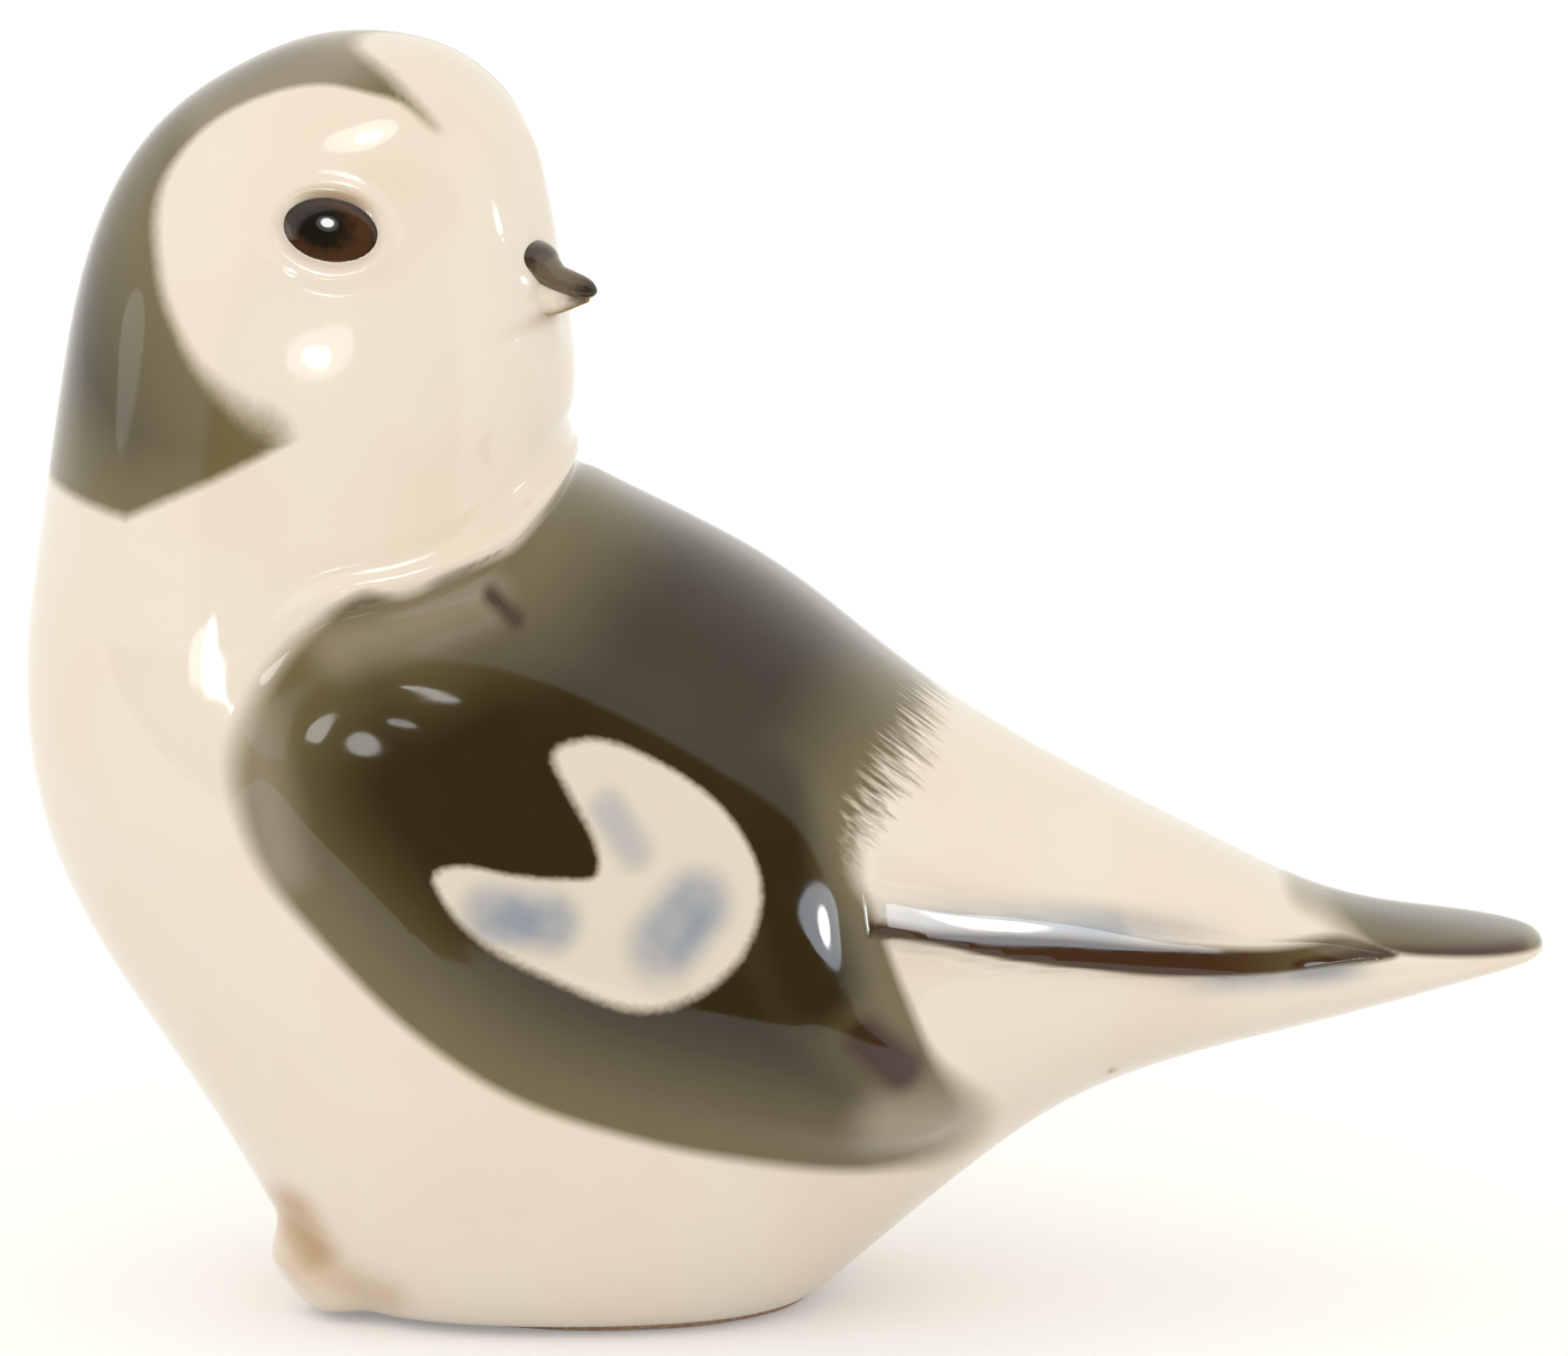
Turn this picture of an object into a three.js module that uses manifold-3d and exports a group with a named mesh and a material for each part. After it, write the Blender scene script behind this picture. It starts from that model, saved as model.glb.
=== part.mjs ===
// Glazed porcelain snow bunting, seated, with its head turned back over its shoulder.
// Millimetres, +Z up, tail towards +X, the bird's left side towards -Y, standing on z = 0.
// The figure is hollow cast: a body, a head and a tail are joined at slip seams, and the
// wings, bill, eyes, feet and standing ring are applied to them before firing.

import * as THREE from "three";
import { mergeVertices } from "three/addons/utils/BufferGeometryUtils.js";
import Module from "manifold-3d";

const wasm = await Module();
wasm.setup();

// Overall sizes.
const LENGTH = 78.6; // breast to tail tip
const HEIGHT = 65.9; // table to crown
const BODY_WIDTH = 34.4; // across the body, under the wings

// Casting.
const WALL = 3.0;
const FLOOR = 3.0;
const SEAM = 0.3; // slip joint between two pieces
const SQUARENESS = 2.3; // exponent of the cross sections: 2 is an ellipse, more is boxier

// Standing ring and the hole in the base that the casting was poured and vented through.
const RING_HEIGHT = 0.7;
const RING_LENGTH = 22;
const RING_DEPTH = 20;
const RING_BAND = 2.6;
const POUR_HOLE_RADIUS = 3;

// Applied wings: the height of the relief above the body, and of its outer edge.
const WING_RELIEF = 1.7;
const WING_EDGE = 0.4;
const FLIGHT_RELIEF = 1.0;
const FLIGHT_EDGE = 0.25;
const PAD_ROUNDING = 3; // exponent of a pad's cross section

// Head turn and face.
const HEAD_YAW_DEG = -27; // where the bill points, from the tail towards the bird's left side
const EYE_SPREAD_DEG = 60; // each eye to one side of the bill
const EYE_LENGTH = 4.7;
const EYE_HEIGHT = 3.3;
const EYE_THICKNESS = 2.6;
const EYE_SINK = 0.45; // how far the middle of the eye lies under the skin
const EYE_RIM_RADIUS = 0.5;
const EYE_RIM_CLEARANCE = 0.35;
const BILL_REACH = 3.5; // skin to tip
const BILL_ROOT = 1.6; // length of the bill's root below the skin line, trimmed to the skin
const BILL_RADIUS = 1.4;
const BILL_DROOP_DEG = 20;
const LOWER_BILL_SHARE = 0.88; // lower mandible against the upper one
// Shares of the bill's radius and length from the root to the tip.
const BILL_TAPER = [[1, 0], [0.92, 0.45], [0.66, 0.75], [0.36, 0.94], [0, 1]];

// Feet: moulded lumps under the breast.
const FOOT_LENGTH = 7.2;
const FOOT_WIDTH = 7.6;
const FOOT_HEIGHT = 5.6;
const FOOT_SPREAD = 13; // between the middles of the two feet
const FOOT_CLEARANCE = 0.4; // above the table

// Mesh fineness.
const RINGS_PER_STATION = 3;
const SIDES = 40;
const CAVITY_SIDES = 24;
const CAVITY_RINGS_PER_STATION = 2;
const PAD_RINGS = 5;
const WING_SIDES = 44;
const FLIGHT_SIDES = 32;
const ROUND_SIDES = 20; // bill, eyes, feet, base hole and quarter of the standing ring
const RIM_SIDES = 8;
const RIM_STEPS = 32;
const BILL_STEPS = 10;
const SEAT_SPACING = 1; // between the points that a seat's slope is read from
const MERGE_DISTANCE = 1e-5;
const FAR = 400; // larger than the whole figure

// The side view is drawn at these sizes, and stretched to the overall sizes above.
const DRAWN_LENGTH = 78.6;
const DRAWN_HEIGHT = 65.9;
const DRAWN_WIDTH = 34.4;

// The sculpt: cross sections fan round the crease of the neck from the tail tip to the crown.
// Each station gives the two ends of its section in the middle plane and its half width:
// the outer rail runs under the tail and belly, up the breast and nape; the inner rail runs
// along the back to the crease, and up the throat and forehead.
const STATIONS = [
  { name: "tail tip", outer: [39.3, 18.4], inner: [39.3, 18.4], halfWidth: 0 },
  { name: "tail end", outer: [38.7, 17.8], inner: [38.7, 19.1], halfWidth: 3.2 },
  { name: "tail", outer: [35.0, 16.9], inner: [35.4, 19.7], halfWidth: 6.0 },
  { name: "tail root", outer: [27.6, 14.7], inner: [28.5, 20.7], halfWidth: 7.2 },
  { name: "vent", outer: [20.6, 12.9], inner: [21.5, 24.1], halfWidth: 8.6 },
  { name: "rump", outer: [14.5, 10.6], inner: [13.0, 28.4], halfWidth: 11.0 },
  { name: "lower back", outer: [9.2, 6.9], inner: [6.4, 32.6], halfWidth: 13.8 },
  { name: "flank", outer: [4.2, 2.7], inner: [-0.4, 38.1], halfWidth: 16.0 },
  { name: "back", outer: [-2.5, -2.6], inner: [-6.6, 41.4], halfWidth: 17.0 },
  { name: "mantle", outer: [-13.0, -4.3], inner: [-10.3, 43.3], halfWidth: 17.2 },
  { name: "crease below", outer: [-22.5, -1.6], inner: [-10.9, 43.9], halfWidth: 17.0 },
  { name: "belly", outer: [-28.9, 9.3], inner: [-11.1, 44.4], halfWidth: 16.6 },
  { name: "breast", outer: [-37.5, 22.2], inner: [-11.2, 44.9], halfWidth: 15.8 },
  { name: "upper breast", outer: [-39.3, 32.0], inner: [-11.1, 45.4], halfWidth: 15.2 },
  { name: "neck", outer: [-38.3, 40.5], inner: [-11.0, 46.2], halfWidth: 14.5 },
  { name: "throat", outer: [-37.3, 47.4], inner: [-10.8, 48.4], halfWidth: 13.8 },
  { name: "cheek", outer: [-36.2, 53.4], inner: [-11.3, 52.6], halfWidth: 12.6 },
  { name: "brow", outer: [-34.2, 58.5], inner: [-12.3, 57.8], halfWidth: 10.6 },
  { name: "forehead", outer: [-31.2, 62.1], inner: [-13.6, 61.9], halfWidth: 8.3 },
  { name: "crown edge", outer: [-26.8, 64.7], inner: [-16.4, 64.6], halfWidth: 5.2 },
  { name: "crown ring", outer: [-24.2, 65.6], inner: [-19.2, 65.6], halfWidth: 2.8 },
  { name: "crown", outer: [-21.8, 65.9], inner: [-21.8, 65.9], halfWidth: 0 },
];
const CAVITY_FROM = "lower back";
const CAVITY_TO = "forehead";

// Places in the drawn side view.
const NECK_CREASE = [-11, 43.4];
const NECK_SEAM_FALL_DEG = 23; // from the crease down towards the breast
const TAIL_SEAM_X = 19.5;
const RING_X = -9.6;
const HEAD_AXIS_X = -23.4;
const EYE_Z = 57.3;
const BILL_Z = 54.1;
const FOOT_X = -23.2;

// Outlines of the applied pads in the drawn side view.
const WING_OUTLINE = [
  [-26.8, 25.6], [-23.3, 21.3], [-19.0, 17.1], [-13.9, 13.7], [-7.4, 11.4], [-1.8, 10.1],
  [5.0, 9.2], [9.0, 10.0], [10.0, 12.6], [6.6, 16.0], [4.3, 20.6], [3.6, 24.2], [1.6, 28.9],
  [-2.3, 33.1], [-8.6, 37.0], [-16.0, 38.9], [-21.6, 38.4], [-25.4, 36.6], [-27.6, 33.6],
  [-28.4, 30.0],
];
const FLIGHT_OUTLINE = [
  [12.0, 20.3], [20.8, 18.6], [25.6, 18.3], [30.4, 19.0], [25.2, 19.6], [20.8, 20.5],
  [14.2, 22.5], [9.0, 23.6], [5.7, 23.8], [5.6, 22.0],
];

// Colours of the glaze, and of the unglazed standing ring.
const GLAZE_ROUGHNESS = 0.12;
const BISQUE_ROUGHNESS = 0.8;
const CREAM = 0xf3e4d2;
const SLATE = 0x6f6652;
const UMBER = 0x46321c;
const OCHRE = 0xdbbc91;
const EYE_BROWN = 0x2a1a0e;
const BISQUE = 0xb48a68;

const stretchX = LENGTH / DRAWN_LENGTH;
const stretchY = BODY_WIDTH / DRAWN_WIDTH;
const stretchZ = HEIGHT / DRAWN_HEIGHT;
const radians = THREE.MathUtils.degToRad;

// A place in the drawn side view, at the overall sizes.
function placed([x, z], y = 0) {
  return new THREE.Vector3(x * stretchX, y, z * stretchZ);
}

function material(name, colour, roughness = GLAZE_ROUGHNESS) {
  return new THREE.MeshStandardMaterial({ name, color: colour, roughness, metalness: 0 });
}

// A closed geometry as a solid that can be joined and cut.
function solidOf(geometry) {
  const bare = geometry.clone();
  bare.deleteAttribute("normal");
  bare.deleteAttribute("uv");
  const merged = mergeVertices(bare, MERGE_DISTANCE);
  return new wasm.Manifold(
    new wasm.Mesh({
      numProp: 3,
      vertProperties: new Float32Array(merged.attributes.position.array),
      triVerts: new Uint32Array(merged.index.array),
    }),
  );
}

function geometryOf(solid) {
  const mesh = solid.getMesh();
  const geometry = new THREE.BufferGeometry();
  geometry.setAttribute("position", new THREE.BufferAttribute(mesh.vertProperties, 3));
  geometry.setIndex(new THREE.BufferAttribute(mesh.triVerts, 1));
  geometry.computeVertexNormals();
  return geometry;
}

// A closed skin over rings of points, all of one length, closed by a point at each end.
function closedRings(first, rings, last) {
  const count = rings[0].length;
  const points = [first, ...rings.flat(), last];
  const end = points.length - 1;
  const faces = [];
  const at = (ring, side) => 1 + ring * count + (side % count);
  for (let side = 0; side < count; side += 1) {
    faces.push(0, at(0, side), at(0, side + 1));
    for (let ring = 0; ring < rings.length - 1; ring += 1) {
      faces.push(at(ring, side), at(ring + 1, side + 1), at(ring, side + 1));
      faces.push(at(ring, side), at(ring + 1, side), at(ring + 1, side + 1));
    }
    faces.push(end, at(rings.length - 1, side + 1), at(rings.length - 1, side));
  }
  const geometry = new THREE.BufferGeometry().setFromPoints(points);
  geometry.setIndex(faces);
  return geometry;
}

// The rails of the sculpt. The outer rail carries the half width in its y.
const lastStation = STATIONS.length - 1;
const outerRail = new THREE.CatmullRomCurve3(
  STATIONS.map((station) => placed(station.outer, station.halfWidth * stretchY)),
);
const innerRail = new THREE.CatmullRomCurve3(STATIONS.map((station) => placed(station.inner)));

// A place along the rails from 0 at the tail tip to 1 at the crown.
function stationAt(name) {
  return STATIONS.findIndex((station) => station.name === name) / lastStation;
}

function sectionAt(along) {
  const outer = outerRail.getPoint(along);
  const inner = innerRail.getPoint(along);
  const halfWidth = outer.y;
  outer.y = 0;
  const centre = outer.clone().lerp(inner, 0.5);
  const arm = outer.clone().sub(inner).multiplyScalar(0.5);
  return { centre, arm, halfWidth };
}

// One cross section of the sculpt, grown outwards by the given amount.
function sectionRing(along, sides, grow) {
  const { centre, arm, halfWidth } = sectionAt(along);
  const direction = arm.clone().normalize();
  const reach = arm.length() + grow;
  const width = halfWidth + grow;
  const rounded = (value) => Math.sign(value) * Math.abs(value) ** (2 / SQUARENESS);
  return Array.from({ length: sides }, (_, side) => {
    const angle = (side / sides) * 2 * Math.PI;
    const point = centre.clone().addScaledVector(direction, reach * rounded(Math.cos(angle)));
    point.y = width * rounded(Math.sin(angle));
    return point;
  });
}

// The whole outside of the bird without its applied pieces.
function sculpt(grow = 0) {
  const steps = lastStation * RINGS_PER_STATION;
  const rings = [];
  for (let step = 1; step < steps; step += 1) {
    rings.push(sectionRing(step / steps, SIDES, grow));
  }
  return closedRings(sectionAt(0).centre, rings, sectionAt(1).centre);
}

// The hollow of the casting, a wall's thickness inside the skin.
function hollow() {
  const from = stationAt(CAVITY_FROM);
  const to = stationAt(CAVITY_TO);
  const steps = Math.round((to - from) * lastStation) * CAVITY_RINGS_PER_STATION;
  const rings = [];
  for (let step = 0; step <= steps; step += 1) {
    rings.push(sectionRing(from + ((to - from) * step) / steps, CAVITY_SIDES, -WALL));
  }
  return closedRings(sectionAt(from).centre, rings, sectionAt(to).centre);
}

// Everything on the side of a plane that its normal points to.
function beyond(point, normal) {
  const box = new THREE.BoxGeometry(FAR, FAR, FAR).translate(0, 0, FAR / 2);
  const turn = new THREE.Quaternion().setFromUnitVectors(new THREE.Vector3(0, 0, 1), normal);
  box.applyQuaternion(turn).translate(point.x, point.y, point.z);
  return solidOf(box);
}

const skinGeometry = sculpt();
const skin = solidOf(skinGeometry);
const grownSkin = solidOf(sculpt(SEAM));
const skinMesh = new THREE.Mesh(skinGeometry, new THREE.MeshBasicMaterial());
const caster = new THREE.Raycaster();

// Where a straight line first meets the skin.
function onSkin(from, direction) {
  caster.set(from, direction);
  return caster.intersectObject(skinMesh)[0].point;
}

// A seat on the skin: its point, and axes with z pointing out of the skin and x level.
function seat(from, direction) {
  const level = new THREE.Vector3(0, 0, 1).cross(direction).normalize().negate();
  const rise = direction.clone().cross(level).normalize();
  const shifted = (axis, by) => onSkin(from.clone().addScaledVector(axis, by), direction);
  const along = shifted(level, SEAT_SPACING).sub(shifted(level, -SEAT_SPACING));
  const upward = shifted(rise, SEAT_SPACING).sub(shifted(rise, -SEAT_SPACING));
  const out = along.clone().cross(upward).normalize();
  if (out.dot(direction) > 0) {
    out.negate();
  }
  const across = new THREE.Vector3(0, 0, 1).cross(out).normalize();
  const axes = new THREE.Matrix4().makeBasis(across, out.clone().cross(across), out);
  return { point: onSkin(from, direction), axes, out };
}

// A seat on the head, seen from its upright axis at one height.
function headSeat(azimuthDeg, drawnZ) {
  const azimuth = radians(azimuthDeg);
  const outward = new THREE.Vector3(Math.cos(azimuth), Math.sin(azimuth), 0);
  const from = placed([HEAD_AXIS_X, drawnZ]).addScaledVector(outward, LENGTH);
  return seat(from, outward.negate());
}

// A seat on the bird's left flank, at one place of the drawn side view.
function flankSeat(place) {
  return seat(placed(place, -LENGTH), new THREE.Vector3(0, 1, 0));
}

function seated(geometry, { point, axes }) {
  return geometry.applyMatrix4(axes).translate(point.x, point.y, point.z);
}

// A pad of clay on the left flank: domed outside, and trimmed to the skin inside.
function pad(outline, relief, edge, sides) {
  const rim = new THREE.CatmullRomCurve3(outline.map(([x, z]) => new THREE.Vector3(x, 0, z)), true);
  const edgePoints = rim.getSpacedPoints(sides).slice(0, sides);
  const middle = new THREE.Vector3();
  edgePoints.forEach((point) => middle.addScaledVector(point, 1 / sides));
  const lifted = (place, height) => {
    const { point, out } = flankSeat([place.x, place.z]);
    return point.addScaledVector(out, height);
  };
  const ring = (share, height) =>
    edgePoints.map((point) => lifted(middle.clone().lerp(point, share), height));
  const rings = [];
  for (let step = 1; step <= PAD_RINGS; step += 1) {
    const share = Math.sin((step / PAD_RINGS) * (Math.PI / 2));
    const dome = (1 - share ** PAD_ROUNDING) ** (1 / PAD_ROUNDING);
    rings.push(ring(share, SEAM + edge + (relief - edge) * dome));
  }
  rings.push(ring(1, -WALL));
  const lump = closedRings(lifted(middle, SEAM + relief), rings, lifted(middle, -WALL));
  return solidOf(lump).subtract(grownSkin);
}

// An ellipsoid with the given full sizes.
function ellipsoid(x, y, z) {
  return new THREE.SphereGeometry(0.5, ROUND_SIDES, ROUND_SIDES / 2).scale(x, y, z);
}

function eye(azimuthDeg, grow) {
  const lens = ellipsoid(EYE_LENGTH + 2 * grow, EYE_HEIGHT + 2 * grow, EYE_THICKNESS + 2 * grow);
  return solidOf(seated(lens.translate(0, 0, -EYE_SINK), headSeat(azimuthDeg, EYE_Z)));
}

// The raised lid round an eye, laid along the curve of the head.
function eyeRim(azimuthDeg) {
  const spread = EYE_RIM_RADIUS + EYE_RIM_CLEARANCE;
  const radius = EYE_LENGTH / 2 + spread;
  const ring = new THREE.TorusGeometry(radius, EYE_RIM_RADIUS, RIM_SIDES, RIM_STEPS);
  ring.scale(1, (EYE_HEIGHT / 2 + spread) / radius, 1);
  const place = headSeat(azimuthDeg, EYE_Z);
  const inward = place.out.clone().negate();
  const corners = ring.attributes.position;
  for (let corner = 0; corner < corners.count; corner += 1) {
    const height = corners.getZ(corner);
    const flat = new THREE.Vector3(corners.getX(corner), corners.getY(corner), 0);
    flat.applyMatrix4(place.axes).add(place.point).addScaledVector(place.out, EYE_LENGTH);
    const laid = onSkin(flat, inward).addScaledVector(place.out, height);
    corners.setXYZ(corner, laid.x, laid.y, laid.z);
  }
  return solidOf(ring);
}

// One mandible: half of a blunt cone, split at the gape and trimmed to the skin.
function mandible(share, upward) {
  const { point } = headSeat(HEAD_YAW_DEG, BILL_Z);
  const length = BILL_ROOT + BILL_REACH * share;
  const radius = BILL_RADIUS * share;
  const taper = new THREE.SplineCurve(
    BILL_TAPER.map(([wide, far]) => new THREE.Vector2(radius * wide, length * far)),
  );
  const profile = [new THREE.Vector2(0, 0), ...taper.getPoints(BILL_STEPS)];
  const cone = new THREE.LatheGeometry(profile, ROUND_SIDES).translate(0, -BILL_ROOT, 0);
  const pitch = new THREE.Matrix4().makeRotationZ(radians(-90 - BILL_DROOP_DEG));
  const yaw = new THREE.Matrix4().makeRotationZ(radians(HEAD_YAW_DEG));
  const upright = new THREE.Matrix4().makeRotationX(radians(90));
  const turn = yaw.multiply(upright).multiply(pitch);
  cone.applyMatrix4(turn).translate(point.x, point.y, point.z);
  const gapeNormal = new THREE.Vector3(-1, 0, 0).applyMatrix4(turn).multiplyScalar(upward);
  const gapePoint = point.clone().addScaledVector(gapeNormal, SEAM / 2);
  return solidOf(cone).intersect(beyond(gapePoint, gapeNormal)).subtract(grownSkin);
}

// A foot of the bird's left side, trimmed to the belly.
function foot() {
  const lump = ellipsoid(FOOT_LENGTH, FOOT_WIDTH, FOOT_HEIGHT);
  const middle = placed([FOOT_X, 0], -FOOT_SPREAD / 2);
  lump.translate(middle.x, middle.y, FOOT_CLEARANCE + FOOT_HEIGHT / 2);
  return solidOf(lump).subtract(grownSkin);
}

// The standing ring under the base.
function standingRing() {
  const outline = new THREE.Shape();
  outline.absellipse(0, 0, RING_LENGTH / 2, RING_DEPTH / 2, 0, 2 * Math.PI);
  const opening = new THREE.Path();
  opening.absellipse(0, 0, RING_LENGTH / 2 - RING_BAND, RING_DEPTH / 2 - RING_BAND, 0, 2 * Math.PI);
  outline.holes.push(opening);
  const options = { depth: RING_HEIGHT, bevelEnabled: false, curveSegments: ROUND_SIDES };
  return new THREE.ExtrudeGeometry(outline, options).translate(RING_X * stretchX, 0, 0);
}

// Planes where the castings meet, each with its normal towards the smaller piece.
const neckFall = radians(NECK_SEAM_FALL_DEG);
const neckNormal = new THREE.Vector3(-Math.sin(neckFall), 0, Math.cos(neckFall));
const neckPoint = placed(NECK_CREASE);
const tailNormal = new THREE.Vector3(1, 0, 0);
const tailPoint = placed([TAIL_SEAM_X, 0]);
const baseLevel = new THREE.Vector3(0, 0, RING_HEIGHT + SEAM);
const floorLevel = new THREE.Vector3(0, 0, baseLevel.z + FLOOR);
const up = new THREE.Vector3(0, 0, 1);

// The larger or smaller side of a seam, half a joint away from its plane.
function sideOfSeam(point, normal, smaller) {
  const facing = smaller ? normal.clone() : normal.clone().negate();
  return beyond(point.clone().addScaledVector(facing, SEAM / 2), facing);
}

function bodyShell() {
  const cavity = solidOf(hollow()).intersect(beyond(floorLevel, up));
  const depth = 2 * (floorLevel.z + SEAM);
  const hole = new THREE.CylinderGeometry(POUR_HOLE_RADIUS, POUR_HOLE_RADIUS, depth, ROUND_SIDES);
  hole.rotateX(Math.PI / 2).translate(RING_X * stretchX, 0, 0);
  return skin
    .intersect(sideOfSeam(neckPoint, neckNormal, false))
    .intersect(sideOfSeam(tailPoint, tailNormal, false))
    .intersect(beyond(baseLevel, up))
    .subtract(cavity)
    .subtract(solidOf(hole));
}

const rightEyeDeg = HEAD_YAW_DEG - EYE_SPREAD_DEG;
const leftEyeDeg = HEAD_YAW_DEG + EYE_SPREAD_DEG;

function headShell() {
  return skin
    .add(eyeRim(rightEyeDeg))
    .add(eyeRim(leftEyeDeg))
    .intersect(sideOfSeam(neckPoint, neckNormal, true))
    .subtract(solidOf(hollow()))
    .subtract(eye(rightEyeDeg, SEAM))
    .subtract(eye(leftEyeDeg, SEAM));
}

const bird = new THREE.Group();
bird.name = "snow_bunting";

function addPiece(name, geometry, look) {
  const mesh = new THREE.Mesh(geometry, look);
  mesh.name = name;
  bird.add(mesh);
  return mesh;
}

// A piece drawn for the bird's left side, and its mirror image on the right.
function addPair(name, geometry, look) {
  addPiece(`${name}_left`, geometry, look);
  addPiece(`${name}_right`, geometry, look).scale.y = -1;
}

const cream = material("cream_glaze", CREAM);
const slate = material("slate_glaze", SLATE);
const umber = material("umber_glaze", UMBER);
const ochre = material("ochre_glaze", OCHRE);
const eyeBrown = material("eye_glaze", EYE_BROWN);
const bisque = material("bisque", BISQUE, BISQUE_ROUGHNESS);

addPiece("body_shell", geometryOf(bodyShell()), cream);
addPiece("head_shell", geometryOf(headShell()), cream);
addPiece("tail", geometryOf(skin.intersect(sideOfSeam(tailPoint, tailNormal, true))), cream);
addPair("wing", geometryOf(pad(WING_OUTLINE, WING_RELIEF, WING_EDGE, WING_SIDES)), slate);
const flightFeathers = pad(FLIGHT_OUTLINE, FLIGHT_RELIEF, FLIGHT_EDGE, FLIGHT_SIDES);
addPair("flight_feathers", geometryOf(flightFeathers), umber);
addPiece("upper_mandible", geometryOf(mandible(1, 1)), umber);
addPiece("lower_mandible", geometryOf(mandible(LOWER_BILL_SHARE, -1)), ochre);
addPiece("eye_left", geometryOf(eye(leftEyeDeg, 0)), eyeBrown);
addPiece("eye_right", geometryOf(eye(rightEyeDeg, 0)), eyeBrown);
addPair("foot", geometryOf(foot()), ochre);
addPiece("foot_ring", standingRing(), bisque);

// The middle of the figure's box stands over the origin.
const box = new THREE.Box3().setFromObject(bird);
bird.position.x = -(box.min.x + box.max.x) / 2;
bird.position.y = -(box.min.y + box.max.y) / 2;

export default bird;
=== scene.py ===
"""A glazed porcelain snow bunting: its glazed skin, painted plumage, light and camera."""

import math

import bpy
import numpy as np
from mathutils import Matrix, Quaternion, Vector


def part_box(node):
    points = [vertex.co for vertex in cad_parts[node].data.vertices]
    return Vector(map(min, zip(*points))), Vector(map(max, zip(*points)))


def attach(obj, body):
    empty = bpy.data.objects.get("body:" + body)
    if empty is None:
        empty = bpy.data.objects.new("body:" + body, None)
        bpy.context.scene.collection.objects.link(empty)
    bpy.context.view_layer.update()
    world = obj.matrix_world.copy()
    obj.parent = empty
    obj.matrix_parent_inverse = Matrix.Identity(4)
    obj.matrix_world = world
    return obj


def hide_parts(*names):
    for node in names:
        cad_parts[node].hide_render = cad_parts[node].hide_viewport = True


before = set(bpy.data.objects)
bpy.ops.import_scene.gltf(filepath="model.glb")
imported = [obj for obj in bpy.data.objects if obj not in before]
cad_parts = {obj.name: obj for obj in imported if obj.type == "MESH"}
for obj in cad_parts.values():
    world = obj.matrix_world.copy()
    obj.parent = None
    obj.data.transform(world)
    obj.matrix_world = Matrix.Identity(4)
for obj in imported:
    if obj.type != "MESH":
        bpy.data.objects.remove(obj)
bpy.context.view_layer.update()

MM = 0.001  # the sculpt is written in millimetres, and Blender works in metres

# The sculpt: cross sections that fan round the crease of the neck, from the tail tip to the crown.
# Each has its outer end (x, z), its inner end (x, z) and its half width.
SECTIONS = [
    (39.3, 18.4, 39.3, 18.4, 0.0),  # tail tip
    (38.7, 17.8, 38.7, 19.1, 3.2),
    (35.0, 16.9, 35.4, 19.7, 6.0),
    (27.6, 14.7, 28.5, 20.7, 7.2),  # tail root
    (20.6, 12.9, 21.5, 24.1, 8.6),
    (14.5, 10.6, 13.0, 28.4, 11.0),  # rump
    (9.2, 6.9, 6.4, 32.6, 13.8),
    (4.2, 2.7, -0.4, 38.1, 16.0),
    (-2.5, -2.6, -6.6, 41.4, 17.0),  # back
    (-13.0, -4.3, -10.3, 43.3, 17.2),
    (-22.5, -1.6, -10.9, 43.9, 17.0),  # crease
    (-28.9, 9.3, -11.1, 44.4, 16.6),
    (-37.5, 22.2, -11.2, 44.9, 15.8),  # breast
    (-39.3, 32.0, -11.1, 45.4, 15.2),
    (-38.3, 40.5, -11.0, 46.2, 14.5),
    (-37.3, 47.4, -10.8, 48.4, 13.8),  # throat
    (-36.2, 53.4, -11.3, 52.6, 12.6),
    (-34.2, 58.5, -12.3, 57.8, 10.6),  # brow
    (-31.2, 62.1, -13.6, 61.9, 8.3),
    (-26.8, 64.7, -16.4, 64.6, 5.2),
    (-24.2, 65.6, -19.2, 65.6, 2.8),
    (-21.8, 65.9, -21.8, 65.9, 0.0),  # crown
]
SQUARENESS = 2.3  # exponent of the cross sections: 2 is an ellipse
FINE_STEPS = 96  # points between two sections while the rails are smoothed
RAIL_SOFTNESS = 30  # fine steps that the smoothing reaches
COLUMNS = 300  # round the body
ROW_STEP = 0.42  # along the body
FACE_ROW_STEP = 0.22  # along the face, where the lids and the bill are
FACE_SECTIONS = (15, 18)

# The base.
BASE_LEVEL = 0.35
BASE_ROUNDING = 0.6
RING_X = -9.6
RING_HALF = (11.0, 10.0)
RING_BAND = 2.6
RING_HEIGHT = 0.7
POUR_HOLE_RADIUS = 3.0
POUR_HOLE_DEPTH = 2.4
POUR_HOLE_EDGE = 0.6

# Seams between the castings.
NECK_CREASE = (-11.0, 43.4)
NECK_SEAM_FALL = math.radians(23)
TAIL_SEAM_X = 19.5
WALL = 1.2  # of the body and head, inside the smooth skin
PAD_WALL = 0.5  # of the pieces that are applied to the skin

# The head's own frame: its upright axis and where the bill points.
HEAD_AXIS = np.array([-23.4, 0.0, 0.0])
HEAD_YAW = math.radians(-27)
FORWARD = np.array([math.cos(HEAD_YAW), math.sin(HEAD_YAW), 0.0])
SIDEWAYS = np.array([-math.sin(HEAD_YAW), math.cos(HEAD_YAW), 0.0])
UPWARD = np.array([0.0, 0.0, 1.0])
HEAD_MIDDLE_Z = 55.0
HEAD_RADIUS = 12.0

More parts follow.
